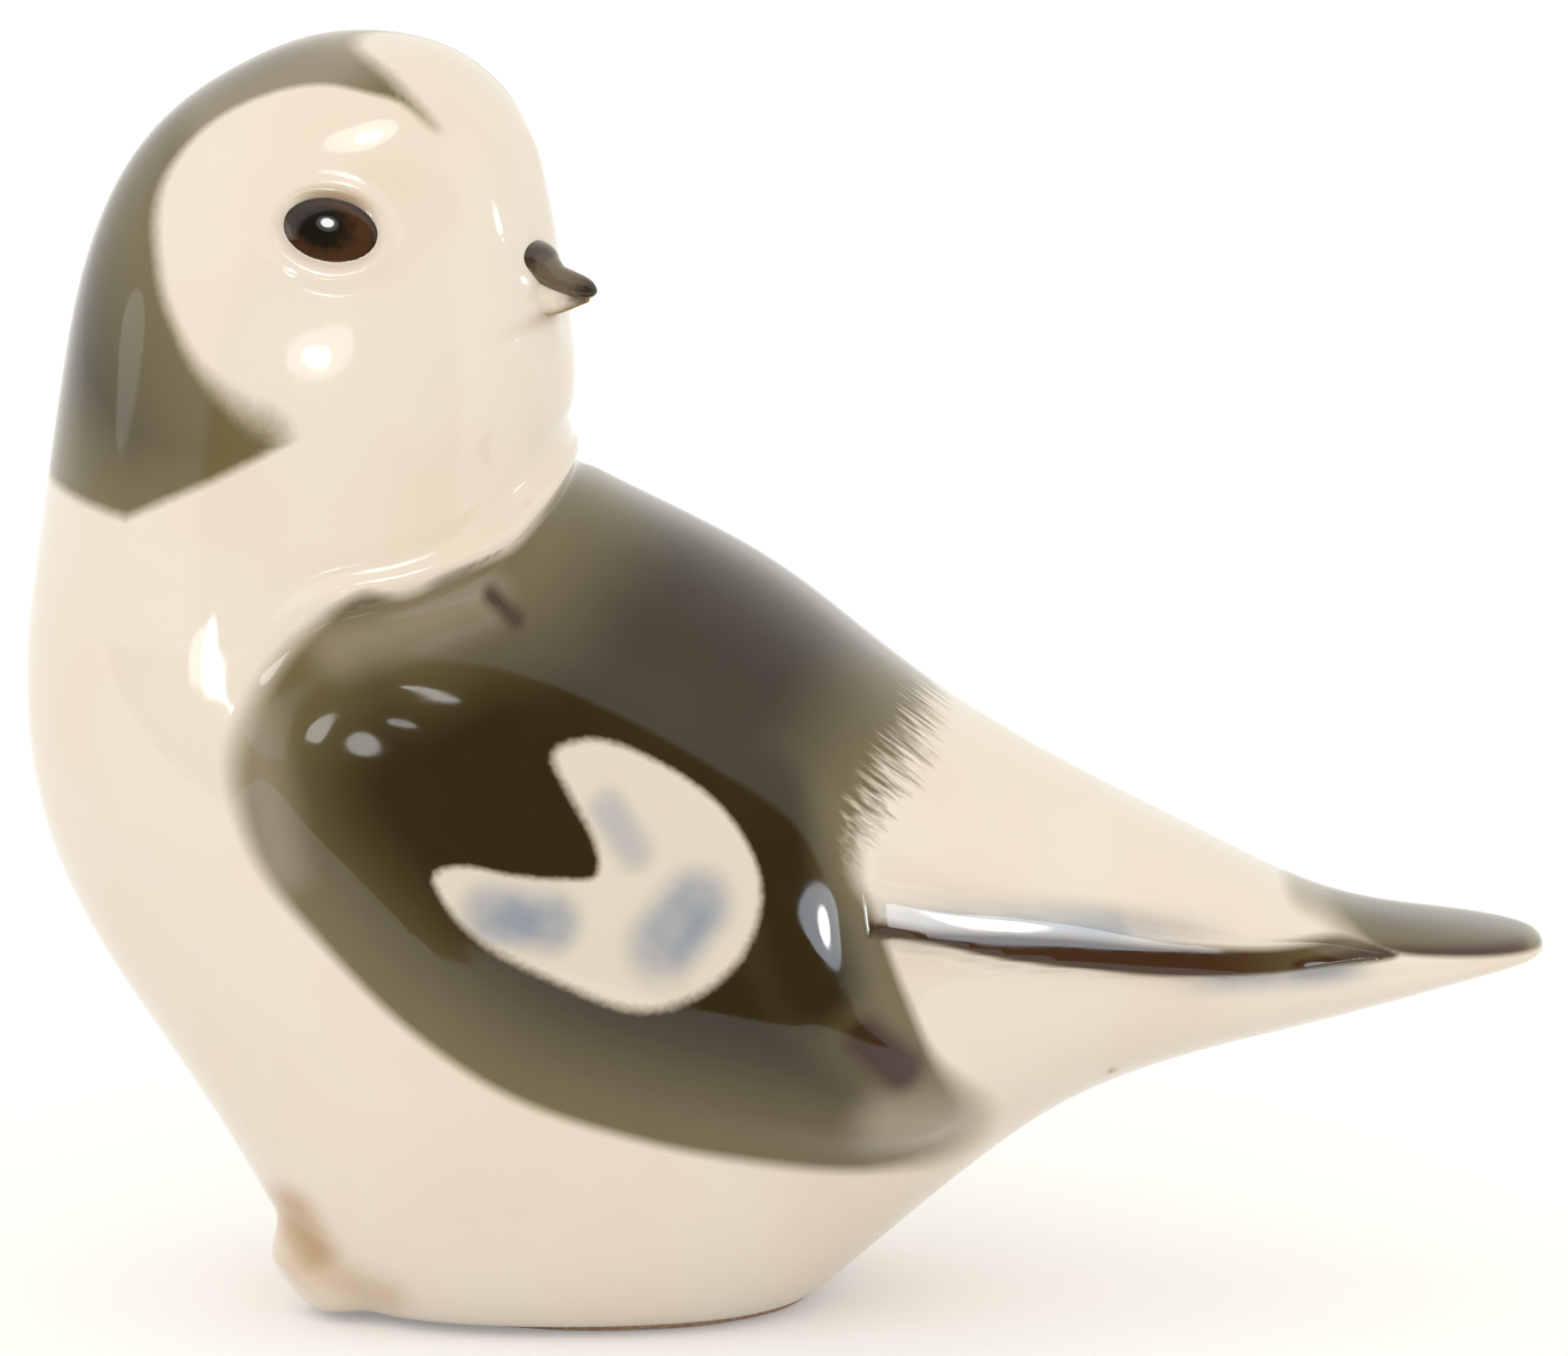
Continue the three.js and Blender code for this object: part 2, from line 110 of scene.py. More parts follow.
# The wing in the side view: x, z, how far its edge takes to rise, and whether it is soft (0) or full (1).
WING_OUTLINE = [
    (-26.8, 25.6, 5.6, 0), (-23.3, 21.3, 6.2, 0), (-19.0, 17.1, 6.6, 0), (-13.9, 13.7, 6.6, 0),
    (-7.4, 11.4, 6.4, 0), (-1.8, 10.1, 5.6, 0), (5.0, 9.2, 4.8, 0), (9.0, 10.0, 4.4, 0),
    (10.0, 12.6, 4.4, 0.3), (6.8, 16.0, 5.2, 0.9), (4.5, 20.6, 5.6, 1), (3.8, 24.2, 5.6, 1),
    (1.8, 28.9, 5.6, 0.8), (-2.3, 33.1, 5.6, 0.3), (-8.6, 37.0, 6.2, 0), (-16.0, 38.9, 6.6, 0),
    (-21.6, 38.4, 6.4, 0), (-25.4, 36.6, 6.0, 0), (-27.6, 33.6, 5.6, 0), (-28.4, 30.0, 5.6, 0),
]
WING_RELIEF = 1.5
WING_LEAN = 0.09  # more relief lower down, for each millimetre
WING_LEAN_FROM_Z = 27.0
WING_EDGE = (1.5, 5.0)  # from its edge to its even middle
WING_TIP = (1.0, 10.0)  # x where it starts to flatten, and its tip
WING_TIP_FLATTER = 0.4
SHOULDER = np.array([-12.5, 34.5])  # where the wing fills the hollow between neck and back
SHOULDER_REACH = np.array([3.5, 4.5])
SHOULDER_FILL = 0.5
EDGE_BLUR = 12  # rounds of blurring, which leave no creases in the relief
MIDDLE_BLUR = 90

# The ridge of the folded flight feathers in the side view: x, and the z of its lower and upper edge.
FLIGHT_EDGES = [
    (3.2, 21.9, 24.5), (4.7, 21.4, 24.3), (7.4, 20.7, 23.6), (11.3, 19.6, 22.9), (15.2, 18.9, 22.0),
    (19.1, 18.35, 20.9), (23.0, 18.2, 20.2), (26.9, 18.4, 19.7), (30.4, 18.85, 19.1),
]
FLIGHT_START = 1.4  # length of its rounded start, next to the wing
FLIGHT_RELIEF = 0.8
FLIGHT_LEAN = 0.04  # how far it leans in at its lower edge
FLIGHT_LEAN_TOP = 0.55  # share of its height where the lean starts
FLIGHT_UNDER = 0.09  # share of its height that turns under
FLIGHT_TOP = 0.24  # share of its height that rounds over at the top
FLIGHT_FULL_HEIGHT = 1.6  # where it is lower than this it is also flatter
FLIGHT_STEPS = 8  # pieces between two points of its edges

# The collar's lip in the side view, from the crease down to the wing.
COLLAR_LINE = [(-10.4, 44.3), (-12.2, 42.6), (-13.9, 41.1), (-18.5, 39.4), (-23.7, 38.2), (-27.6, 34.6)]
# Its roll, crease and groove: height, and place over the line.
COLLAR_WAVES = [(0.45, 0.6), (-0.16, 1.9), (-0.25, -0.5)]
COLLAR_BREADTH = 0.6
COLLAR_FADE = 0.7  # share of the line where the collar starts to fade

# Creases and ridges of the face in the head's frame: forward, sideways (towards one eye), z.
CHIN_LINE = [(12.8, 0.4, 52.2), (12.4, 2.0, 51.8), (12.1, 4.3, 51.3), (11.6, 6.2, 50.8)]
CHIN_DEPTH = 0.15
CHIN_BREADTH = 0.6
CHIN_FADE = 0.7
MUZZLE = np.array([12.3, 0.0, 52.9])  # the skin swells round the root of the lower mandible
MUZZLE_REACH = 1.9
MUZZLE_RISE = 0.5
BROW_LINE = [(9.1, 4.4, 61.9), (10.4, 4.1, 60.2), (11.3, 3.9, 58.3), (11.9, 3.3, 56.5)]
BROW_RISE = 0.2
BROW_BREADTH = 1.7
BROW_START = 0.4  # share of the line where it has its full rise

EYE_HALF = (2.4, 1.68)
EYE_LEVELLING = np.array([1.0, 1.0, 0.55])  # the eye looks less upward than the skin round it
EYE_TILT = math.radians(-11)  # the corner next to the bill is lower
EYE_DROP = 0.26  # below the CAD's eye
EYE_NEAR = 7.2  # in front of or behind the eye's seat
EYE_ELSEWHERE = 1e3  # stands for the distance of any place that isn't near
LID_DISTANCE = 0.72
LID_WIDTH = 0.42
LID_RISE = 0.22
LID_LOWER = 0.25  # share that the lid is lower above the eye
SOCKET_DEPTH = 0.25
SOCKET_EDGE = (-0.3, 0.25)  # inside and outside the eye's rim
EYE_RISE = 0.5
EYE_OVERLAP = 1.02  # share of its half sizes
EYE_FLATNESS = 0.96
EYE_SINK = 0.6  # share of the socket's depth
EYE_ROOT = 1.2
EYE_RINGS = 28
EYE_COLUMNS = 72

FOOT_MIDDLE = np.array([-24.7, -6.3, 1.9])
FOOT_HALF = np.array([4.4, 4.2, 4.0])
FOOT_RISE = 1.5
FOOT_CROWN = 0.45  # share of its half sizes that has the full rise

LINE_STEPS = 6  # pieces between two points of a line
CHUNK = 15000  # places handled at a time


def smooth_step(low, high, value):
    """0 below low, 1 above high, and a smooth curve between."""
    share = np.clip((value - low) / (high - low), 0, 1)
    return share * share * (3 - 2 * share)


def bell(distance, width):
    return np.exp(-((distance / width) ** 2))


def powered(wave, power):
    """A wave with its size raised to a power and its sign kept."""
    return np.sign(wave) * np.abs(wave) ** power


def full_turn(steps):
    return np.linspace(0, 2 * math.pi, steps, endpoint=False)


def unit(vectors):
    return vectors / np.maximum(np.linalg.norm(vectors, axis=-1, keepdims=True), 1e-12)


def curve_through(points, steps, closed=False):
    """A smooth curve through the points, with the given steps between each two."""
    points = np.asarray(points, float)
    if closed:
        padded = np.vstack([points[-1:], points, points[:2]])
    else:
        padded = np.vstack([2 * points[0] - points[1], points, 2 * points[-1] - points[-2]])
    before, start, end, after = padded[:-3], padded[1:-2], padded[2:-1], padded[3:]
    gaps = np.sqrt(np.maximum(np.linalg.norm(np.diff(padded, axis=0), axis=1), 1e-9))[:, None]
    first, middle, last = gaps[:-2], gaps[1:-1], gaps[2:]
    leave = middle * ((start - before) / first - (end - before) / (first + middle)) + end - start
    arrive = middle * ((after - end) / last - (after - start) / (middle + last)) + end - start
    t = np.linspace(0, 1, steps, endpoint=False)[:, None, None]
    curve = (
        (2 * t**3 - 3 * t**2 + 1) * start
        + (t**3 - 2 * t**2 + t) * leave
        + (3 * t**2 - 2 * t**3) * end
        + (t**3 - t**2) * arrive
    )
    curve = curve.transpose(1, 0, 2).reshape(-1, points.shape[1])
    return curve if closed else np.vstack([curve, points[-1]])


def chunks(places):
    """Row numbers of the places, in parts that spare memory."""
    return np.array_split(np.arange(len(places)), max(1, len(places) // CHUNK))


def nearest_on_line(places, start, way):
    """For each place the nearest piece of the line, the share along that piece, and the distance."""
    best, share, gap = np.empty(len(places), int), np.empty(len(places)), np.empty(len(places))
    for part in chunks(places):
        away = places[part][:, None] - start
        shares = np.clip((away * way).sum(2) / (way * way).sum(1), 0, 1)
        gaps = np.linalg.norm(away - shares[:, :, None] * way, axis=2)
        best[part] = gaps.argmin(1)
        rows = np.arange(len(part))
        share[part] = shares[rows, best[part]]
        gap[part] = gaps[rows, best[part]]
    return best, share, gap


def line_distance(places, line):
    """How far each place lies from an open line, and the share of the line at its nearest point."""
    line = curve_through(line, LINE_STEPS)
    best, share, gap = nearest_on_line(places, line[:-1], np.diff(line, axis=0))
    return gap, (best + share) / (len(line) - 1)


def is_inside(places, start, way):
    """Whether a level ray from each place crosses the closed line an odd number of times."""
    inside = np.empty(len(places), bool)
    slope = way[:, 0] / np.where(np.abs(way[:, 1]) < 1e-9, 1e-9, way[:, 1])
    for part in chunks(places):
        away = places[part][:, None] - start
        crossing = (away[:, :, 1] < 0) != (away[:, :, 1] < way[:, 1])
        inside[part] = (crossing & (away[:, :, 0] < slope * away[:, :, 1])).sum(1) % 2 == 1
    return inside


def outline_distance(places, outline, reach=8.0):
    """How far each place lies inside a closed outline, and the outline's other values nearest to it."""
    line = curve_through(outline, LINE_STEPS, closed=True)
    step = np.roll(line, -1, axis=0) - line
    start, way = line[:, :2], step[:, :2]
    distance = np.full(len(places), -reach)
    values = np.tile(line[:, 2:].mean(0), (len(places), 1))
    near = ((places > start.min(0) - reach) & (places < start.max(0) + reach)).all(1)
    best, share, gap = nearest_on_line(places[near], start, way)
    distance[near] = np.where(is_inside(places[near], start, way), gap, -gap)
    values[near] = line[best, 2:] + share[:, None] * step[best, 2:]
    return distance, *values.T


# The skin.


def smoothed(loop):
    """A closed loop of values, blurred so that its curvature has no steps."""
    count = len(loop)
    offsets = np.minimum(np.arange(count), count - np.arange(count))
    weights = np.exp(-0.5 * (offsets / RAIL_SOFTNESS) ** 2)
    weights /= weights.sum()
    spectrum = np.fft.rfft(weights)
    return np.stack([np.fft.irfft(np.fft.rfft(row) * spectrum, count) for row in loop.T], 1)


def smooth_rails():
    """The outer and inner rails, as fine rows of x, z and half width."""
    sections = np.array(SECTIONS)
    outer = curve_through(sections[:, [0, 1, 4]], FINE_STEPS)
    inner = curve_through(sections[:, [2, 3, 4]], FINE_STEPS)
    inner[:, 2] = -outer[:, 2]
    loop = smoothed(np.vstack([outer, inner[-2:0:-1]]))
    half = len(outer)
    return loop[:half], np.vstack([loop[:1], loop[:half - 2:-1]])


def row_places(outer, inner):
    """Where the rows lie along the fine rails: denser on the face."""
    moved = [np.linalg.norm(np.diff(rail[:, :2], axis=0), axis=1) for rail in (outer, inner)]
    section = np.arange(len(outer) - 1) / FINE_STEPS
    on_face = (section > FACE_SECTIONS[0]) & (section < FACE_SECTIONS[1])
    spacing = np.where(on_face, FACE_ROW_STEP, ROW_STEP)
    blur = np.ones(FINE_STEPS) / FINE_STEPS
    spacing = np.convolve(np.pad(spacing, FINE_STEPS // 2, "edge"), blur, "same")
    spacing = spacing[FINE_STEPS // 2 : FINE_STEPS // 2 + len(section)]
    rows_passed = np.concatenate([[0], np.cumsum(np.maximum(*moved) / spacing)])
    count = round(rows_passed[-1])
    wanted = np.linspace(0, rows_passed[-1], count + 1)
    return np.interp(wanted, rows_passed, np.arange(len(outer)))


def smooth_skin():
    """The skin without relief, as a grid of points: rows from tail to crown, columns round the body."""
    outer, inner = smooth_rails()
    at = row_places(outer, inner)
    fine = np.arange(len(outer))
    outer, inner = [np.stack([np.interp(at, fine, row) for row in rail.T], 1) for rail in (outer, inner)]
    angle = full_turn(COLUMNS)
    across, beside = [powered(wave, 2 / SQUARENESS) for wave in (np.cos(angle), np.sin(angle))]
    middle, arm = (outer + inner) / 2, (outer - inner) / 2
    grid = np.empty((len(at), COLUMNS, 3))
    grid[:, :, 0] = middle[:, :1] + arm[:, :1] * across
    grid[:, :, 1] = outer[:, 2:] * beside
    grid[:, :, 2] = middle[:, 1:2] + arm[:, 1:2] * across
    return grid


def grid_normals(grid):
    """Outward normals of a grid that is closed round its columns and meets in a point at each end."""
    down = np.gradient(grid, axis=0)
    round_it = np.roll(grid, -1, axis=1) - np.roll(grid, 1, axis=1)
    normals = unit(np.cross(down, round_it))
    normals[0] = unit(normals[1].mean(0))
    normals[-1] = unit(normals[-2].mean(0))
    return normals


def in_head_frame(places):
    """Places as forward, sideways and z of the turned head."""
    away = places - HEAD_AXIS
    return np.stack([away @ FORWARD, away @ SIDEWAYS, away @ UPWARD], -1)


def in_half_head(places):
    """The same with both sides of the head laid on one."""
    head = in_head_frame(places)
    head[:, 1] = np.abs(head[:, 1])
    return head


def from_head_frame(forward, sideways, z):
    return HEAD_AXIS + np.outer(forward, FORWARD) + np.outer(sideways, SIDEWAYS) + np.outer(z, UPWARD)


def eye_frame(node, places, normals):
    """The seat of an eye on the skin: its middle and its axes to the bill, up and out."""
    low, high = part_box(node)
    middle = np.array(low + high) / 2 / MM - EYE_DROP * UPWARD
    nearest = np.linalg.norm(places - middle, axis=1).argmin()
    out = unit(normals[nearest] * EYE_LEVELLING)
    level = unit(FORWARD - out * (FORWARD @ out))
    level = unit(level - UPWARD * level[2])
    rise = np.cross(out, level)
    rise = rise if rise[2] > 0 else -rise
    front = math.cos(EYE_TILT) * level + math.sin(EYE_TILT) * rise
    above = math.cos(EYE_TILT) * rise - math.sin(EYE_TILT) * level
    return places[nearest], front, above, out


def eye_distance(places, eye):
    """How far outside the eye's rim each place lies, and the direction round the eye as a height share."""
    middle, front, above, out = eye
    away = places - middle
    level, rise = away @ front, away @ above
    share = np.sqrt((level / EYE_HALF[0]) ** 2 + (rise / EYE_HALF[1]) ** 2)
    length = np.hypot(level, rise)
    near = np.abs(away @ out) < EYE_NEAR
    distance = np.where(near, length * (1 - 1 / np.maximum(share, 1e-6)), EYE_ELSEWHERE)
    return distance, rise / np.maximum(length, 1e-6)


def blurred(values, shape, rounds):
    """Values on the skin's grid, each averaged with its neighbours several times."""
    grid = values.reshape(shape)
    for _ in range(rounds):
        grid = (np.roll(grid, 1, axis=1) + 2 * grid + np.roll(grid, -1, axis=1)) / 4
        grid[1:-1] = (grid[:-2] + 2 * grid[1:-1] + grid[2:]) / 4
    return grid.ravel()


def wing_relief(side, shape):
    """A pad that rises from its outline, leans out lower down and is smooth in the middle."""
    distance, rise, fullness = outline_distance(side, WING_OUTLINE)
    share = np.clip(distance / rise, 0, 1)
    soft = share**3 * (share * (6 * share - 15) + 10)  # no step in curvature at either end
    full = np.sqrt(1 - (1 - share) ** 2)
    edge = soft + np.clip(fullness, 0, 1) * (full - soft)
    edge *= 1 - WING_TIP_FLATTER * smooth_step(*WING_TIP, side[:, 0])
    below = np.logaddexp(0, WING_LEAN_FROM_Z - side[:, 1])
    relief = blurred((WING_RELIEF + WING_LEAN * below) * edge, shape, EDGE_BLUR)
    even = blurred(relief, shape, MIDDLE_BLUR)
    relief += smooth_step(*WING_EDGE, distance) * (even - relief)
    fill = SHOULDER_FILL * bell(np.linalg.norm((side - SHOULDER) / SHOULDER_REACH, axis=1), 1.0)
    return relief + fill, distance


def flight_share(side):
    """The ridge's height at each place, and how far up it the place lies, from 0 to 1."""
    x, lower, upper = curve_through(FLIGHT_EDGES, FLIGHT_STEPS).T
    bottom, top = [np.interp(side[:, 0], x, edge) for edge in (lower, upper)]
    return top - bottom, (side[:, 1] - bottom) / (top - bottom)


def flight_relief(side):
    """A slim ridge that is full in front and runs out behind, and how far inside it each place lies."""
    height, share = flight_share(side)
    start, end = FLIGHT_EDGES[0][0], FLIGHT_EDGES[-1][0]
    run = (side[:, 0] > start) & (side[:, 0] < end)
    profile = smooth_step(0, FLIGHT_UNDER, share) * smooth_step(0, FLIGHT_TOP, 1 - share)
    lean = 1 - FLIGHT_LEAN * np.clip(1 - share / FLIGHT_LEAN_TOP, 0, 1) ** 2
    relief = FLIGHT_RELIEF * lean * smooth_step(0, FLIGHT_FULL_HEIGHT, height)
    relief *= smooth_step(start, start + FLIGHT_START, side[:, 0])
    inside = np.where(run, height * np.minimum(share, 1 - share), -1.0)
    return run * relief * profile, inside


def collar_relief(side):
    """A thin roll on the neck's side of the collar line, between a crease and the mantle's groove."""
    distance, along = line_distance(side, COLLAR_LINE)
    line_z = np.interp(side[:, 0], *np.array(COLLAR_LINE)[::-1].T)
    signed = np.where(side[:, 1] > line_z, distance, -distance)
    fade = 1 - smooth_step(COLLAR_FADE, 1.0, along)
    return fade * sum(height * bell(signed - place, COLLAR_BREADTH) for height, place in COLLAR_WAVES)


def face_relief(places, eyes):
    """Lids, sockets, chin creases and brow ridges."""
    height = np.zeros(len(places))
    for eye in eyes:
        distance, rise = eye_distance(places, eye)
        height += LID_RISE * (1 - LID_LOWER * rise) * bell(distance - LID_DISTANCE, LID_WIDTH)
        height -= SOCKET_DEPTH * (1 - smooth_step(*SOCKET_EDGE, distance))
    head = in_half_head(places)
    distance, along = line_distance(head, CHIN_LINE)
    height -= CHIN_DEPTH * bell(distance, CHIN_BREADTH) * (1 - along) ** CHIN_FADE
    height += MUZZLE_RISE * bell(np.linalg.norm(head - MUZZLE, axis=1), MUZZLE_REACH)
    distance, along = line_distance(head, BROW_LINE)
    height += BROW_RISE * bell(distance, BROW_BREADTH) * smooth_step(0, BROW_START, along)
    return height


def foot_relief(places):
    """Two moulded feet, and how far each place lies from the nearer one as a share of its half sizes."""
    mirrored = places.copy()
    mirrored[:, 1] = -np.abs(places[:, 1])
    away = np.linalg.norm((mirrored - FOOT_MIDDLE) / FOOT_HALF, axis=1)
    return FOOT_RISE * (1 - smooth_step(FOOT_CROWN, 1.0, away)), away


def flattened(places):
    """The base cut level with a rounded edge, with the pour hole in it."""
    above = places[:, 2] - BASE_LEVEL
    level = BASE_LEVEL + (above + np.sqrt(above**2 + BASE_ROUNDING**2)) / 2
    from_hole = np.hypot(places[:, 0] - RING_X, places[:, 1])
    pit = 1 - smooth_step(POUR_HOLE_RADIUS - POUR_HOLE_EDGE, POUR_HOLE_RADIUS, from_hole)
    lowered = level + POUR_HOLE_DEPTH * pit * (places[:, 2] < BASE_LEVEL + POUR_HOLE_DEPTH)
    return np.column_stack([places[:, :2], lowered])


# The paint.

# Outlines in the side view: x, z and how softly the paint ends there.
MANTLE = [
    (-10.8, 43.9, 0.3), (-12.2, 42.5, 0.3), (-13.9, 41.0, 0.35), (-15.4, 40.5, 0.35),
    (-16.6, 40.2, 0.35), (-17.6, 39.8, 0.35), (-18.4, 39.3, 0.35), (-19.5, 39.05, 0.35),
    (-20.3, 39.2, 0.35), (-21.1, 39.35, 0.4), (-22.2, 38.9, 0.4), (-23.2, 38.1, 0.5),
    (-25.6, 35.7, 0.7), (-27.2, 32.8, 0.8), (-27.8, 30.2, 0.8), (-26.6, 25.6, 0.55),
    (-23.3, 21.4, 0.4), (-19.0, 17.2, 0.35), (-13.9, 13.8, 0.35), (-7.4, 11.5, 0.35),
    (-1.8, 10.2, 0.4), (5.1, 9.1, 0.5), (9.0, 9.7, 1.2), (9.9, 11.6, 1.2), (7.4, 15.4, 0.4),
    (5.9, 18.9, 0.3), (4.6, 22.4, 0.3), (3.4, 25.4, 0.7), (4.2, 27.8, 1.4), (5.5, 29.6, 1.5),
    (7.0, 31.4, 1.3), (10.0, 36.0, 1.1), (2.0, 46.0, 0.5), (-9.0, 47.0, 0.3),
]
PATCH = [
    (-11.7, 31.5, 0.3), (-9.9, 32.1, 0.25), (-7.0, 31.2, 0.2), (-3.5, 28.9, 0.2), (-1.6, 26.1, 0.2),
    (-1.3, 24.0, 0.25), (-2.2, 21.5, 0.3), (-4.4, 19.5, 0.35), (-7.4, 18.7, 0.35), (-11.7, 20.2, 0.35),
    (-15.5, 22.2, 0.3), (-17.2, 24.1, 0.25), (-17.7, 25.5, 0.25), (-16.3, 25.9, 0.2),
    (-13.8, 25.5, 0.2), (-11.2, 25.3, 0.2), (-9.5, 25.5, 0.2), (-9.6, 27.1, 0.25), (-10.8, 29.4, 0.3),
]
TAIL_TOP = [
    (26.0, 21.9, 0.6), (27.6, 20.8, 0.6), (29.0, 19.9, 0.5), (30.2, 19.3, 0.25), (31.6, 19.0, 0.15),
    (34.0, 18.8, 0.15), (38.7, 18.6, 0.15), (43.0, 18.7, 0.15), (43.0, 27.0, 0.5), (27.0, 27.0, 0.6),
]
FLIGHT_EDGE = [
    (4.0, 22.1, 0.15), (7.4, 21.2, 0.15), (11.3, 20.0, 0.15), (15.2, 19.2, 0.15), (19.1, 18.6, 0.15),
    (23.0, 18.4, 0.15), (26.9, 18.55, 0.15), (31.4, 18.95, 0.15), (29.0, 19.9, 0.25),
    (24.6, 19.75, 0.25), (18.7, 20.3, 0.25), (15.2, 20.9, 0.25), (11.3, 21.45, 0.25),
    (7.4, 21.95, 0.25), (4.2, 22.6, 0.25),
]
TAIL_EDGE = [(26.0, 18.9), (30.0, 19.1), (33.0, 19.0), (37.8, 18.9)]
TAIL_EDGE_HALF = 0.6
UMBER_END = (21.0, 31.0)  # x between which the dark edge of the flight feathers fades
# The head's band: forward, degrees down from the crown, and how softly it ends.
HEAD_BAND = [
    (8.1, 30, 0.8), (6.7, 28.5, 0.4), (5.0, 30, 0.3), (2.9, 31.5, 0.3), (0.8, 36, 0.3),
    (-1.7, 45, 0.35), (-3.2, 54.7, 0.4), (-4.1, 66.9, 0.5), (-4.0, 77.3, 0.55), (-3.3, 87.3, 0.5),
    (-2.4, 96, 0.45), (-0.2, 107.7, 0.45), (2.4, 115.3, 0.6), (4.2, 119.3, 0.7), (4.8, 123, 0.7),
    (4.8, 205, 0.7), (-28.0, 205, 1), (-28.0, -60, 1), (-1.5, -60, 0.6), (1.4, -12, 0.6),
    (2.8, 12, 0.6), (5.5, 21, 0.7),
]
# The band's lower edge, from the middle of the nape to the cheek: forward and z.
HOOD_EDGE = [
    (-18.0, 43.5), (-9.3, 43.3), (-6.6, 43.0), (-3.5, 42.6), (-0.8, 43.8), (1.4, 44.8), (3.6, 46.0),
    (5.2, 47.0),
]
HOOD_SOFTNESS = 0.35
# Strokes in the side view: two ends (x, z), half width and strength.
BLUE_STROKES = [
    ((-14.9, 23.6), (-11.9, 23.2), 2.3, 0.9),
    ((-6.3, 21.9), (-4.6, 24.0), 2.6, 1.0),
    ((-9.0, 28.8), (-7.6, 26.7), 1.5, 0.5),
]
BLUE_HAZE_AND_SHEEN = [
    ((19.0, 18.3), (31.0, 18.7), 1.6, 0.8),
    # on the ridge's upper half: its blue-grey paint and a painted bluish reflection
    ((1.0, 23.2), (24.0, 19.9), 1.7, 0.75),
]
HAZE_FADE = 0.3  # share of the stroke's length
BLUE_CORE = 0.2  # share of a stroke's half width that has its full strength
DEEPER = ((-1.0, 28.5), (2.0, 20.0), 3.4, 5.0)  # where the paint is as dark right to its edge as further in, with no paler rim of painted reflection
STAINS = [
    ((-14.9, 39.0), (-13.6, 37.7), 0.75, 1.0),
    ((-2.4, 33.9), (-1.3, 32.8), 0.6, 0.7),
    ((3.9, 16.9), (5.8, 15.0), 1.8, 1.4),
]
WASHES_AND_SHEEN = [  # where the dark paint is made lighter: thin paint, and also a painted sheen of the glaze on the mantle under the collar, the wing's front rim and the crown
    ((-22.5, 36.6), (-15.5, 38.8), 2.4, 0.45),
    ((-27.0, 33.3), (-25.6, 25.5), 2.6, 0.45),
    ((5.4, 12.0), (9.3, 11.0), 3.2, 0.75),
    ((-28.5, 61.5), (-22.5, 65.2), 3.0, 0.5),
]
FOOT_TINTS = [((-25.4, 6.2), (-24.2, 4.0), 2.7, 0.8), ((-25.0, 3.4), (-20.5, 2.0), 2.6, 0.45)]
FOOT_GAP = (1.0, 3.5)  # half widths between which the strip between the feet is left bare
RUMP_LINE = [(4.6, 28.2), (5.5, 29.6), (7.4, 32.4), (9.0, 36.0)]
RUMP_HAIR = 2.2  # how far the brush hairs reach from that line
# Ragged edges: strength, place and breadth, as multiples of the edge's softness.
HOOD_FUZZ = (0.2, 0.0, 4.0)
PATCH_FUZZ = (0.4, 0.0, 6.0)
MANTLE_TOP = 0.6  # over the neck seam
TAIL_PAINT_X = 24.0
TAIL_DARKENING = 4.0  # how much faster the tail's paint darkens from its edge than the mantle's
DEEPEST_DEPTH = 12.0
FAR = 30.0  # multiple of an edge's softness that stands for anywhere further
LEAST_SOFTNESS = 0.05
# Brown lines and painted shade: strength, distance from the eye's rim (from the chin's line and the pinhole
# for those) and breadth.
# above the eye, between its rim and the lid: partly tan paint and partly painted shade in that groove
LID_SHADE = (0.7, 0.3, 0.35)
LID_SHADE_FROM = 0.35  # the way up round the eye where the lid's line starts
# a faint brown ring just outside the eye's rim, all round
RIM_SHADE = (0.18, 0.1, 0.25)
# painted shade along the chin's crease under the bill
CHIN_SHADE = (0.7, 0.0, 0.45)
CHIN_SHADE_END = 0.8  # share of the chin's line
PINHOLE = np.array([16.7, 13.0])
PINHOLE_SHADE = (0.9, 0.0, 0.22)


def stroke(side, start, end, half_width, strength, core=0.0):
    """A soft brush stroke from one end to the other."""
    distance, _ = line_distance(side, [start, end])
    return strength * (1 - smooth_step(core, 1.0, distance / half_width))


def haze(side, start, end, half_width, strength):
    """A stroke that also fades in and out along its length."""
    _, along = line_distance(side, [start, end])
    fade = smooth_step(0, HAZE_FADE, along) * smooth_step(0, HAZE_FADE, 1 - along)
    return fade * stroke(side, start, end, half_width, strength)


def edge_share(places, outline):
    """How far inside a painted outline each place lies, as a multiple of the edge's softness."""
    distance, softness = outline_distance(places, outline)
    return distance / np.maximum(softness, LEAST_SOFTNESS), distance


def head_sheet(places):
    """The head rolled flat: forward, and the way down from the crown on either side."""
    head = in_head_frame(places)
    down = np.arctan2(np.abs(head[:, 1]), head[:, 2] - HEAD_MIDDLE_Z)
    return np.column_stack([head[:, 0], HEAD_RADIUS * down])


def strokes(side, rows, core=0.0):
    return np.max([stroke(side, *row, core) for row in rows], axis=0)


def hood(places):
    """How far inside the head's band each place lies: by its edge's softness, and in millimetres."""
    outline = np.array(HEAD_BAND)
    outline[:, 1] *= math.radians(1) * HEAD_RADIUS
    share, depth = edge_share(head_sheet(places), outline)
    head = in_head_frame(places)
    over_edge = head[:, 2] - np.interp(head[:, 0], *np.array(HOOD_EDGE).T)
    return np.minimum(share, over_edge / HOOD_SOFTNESS), np.minimum(depth, over_edge)


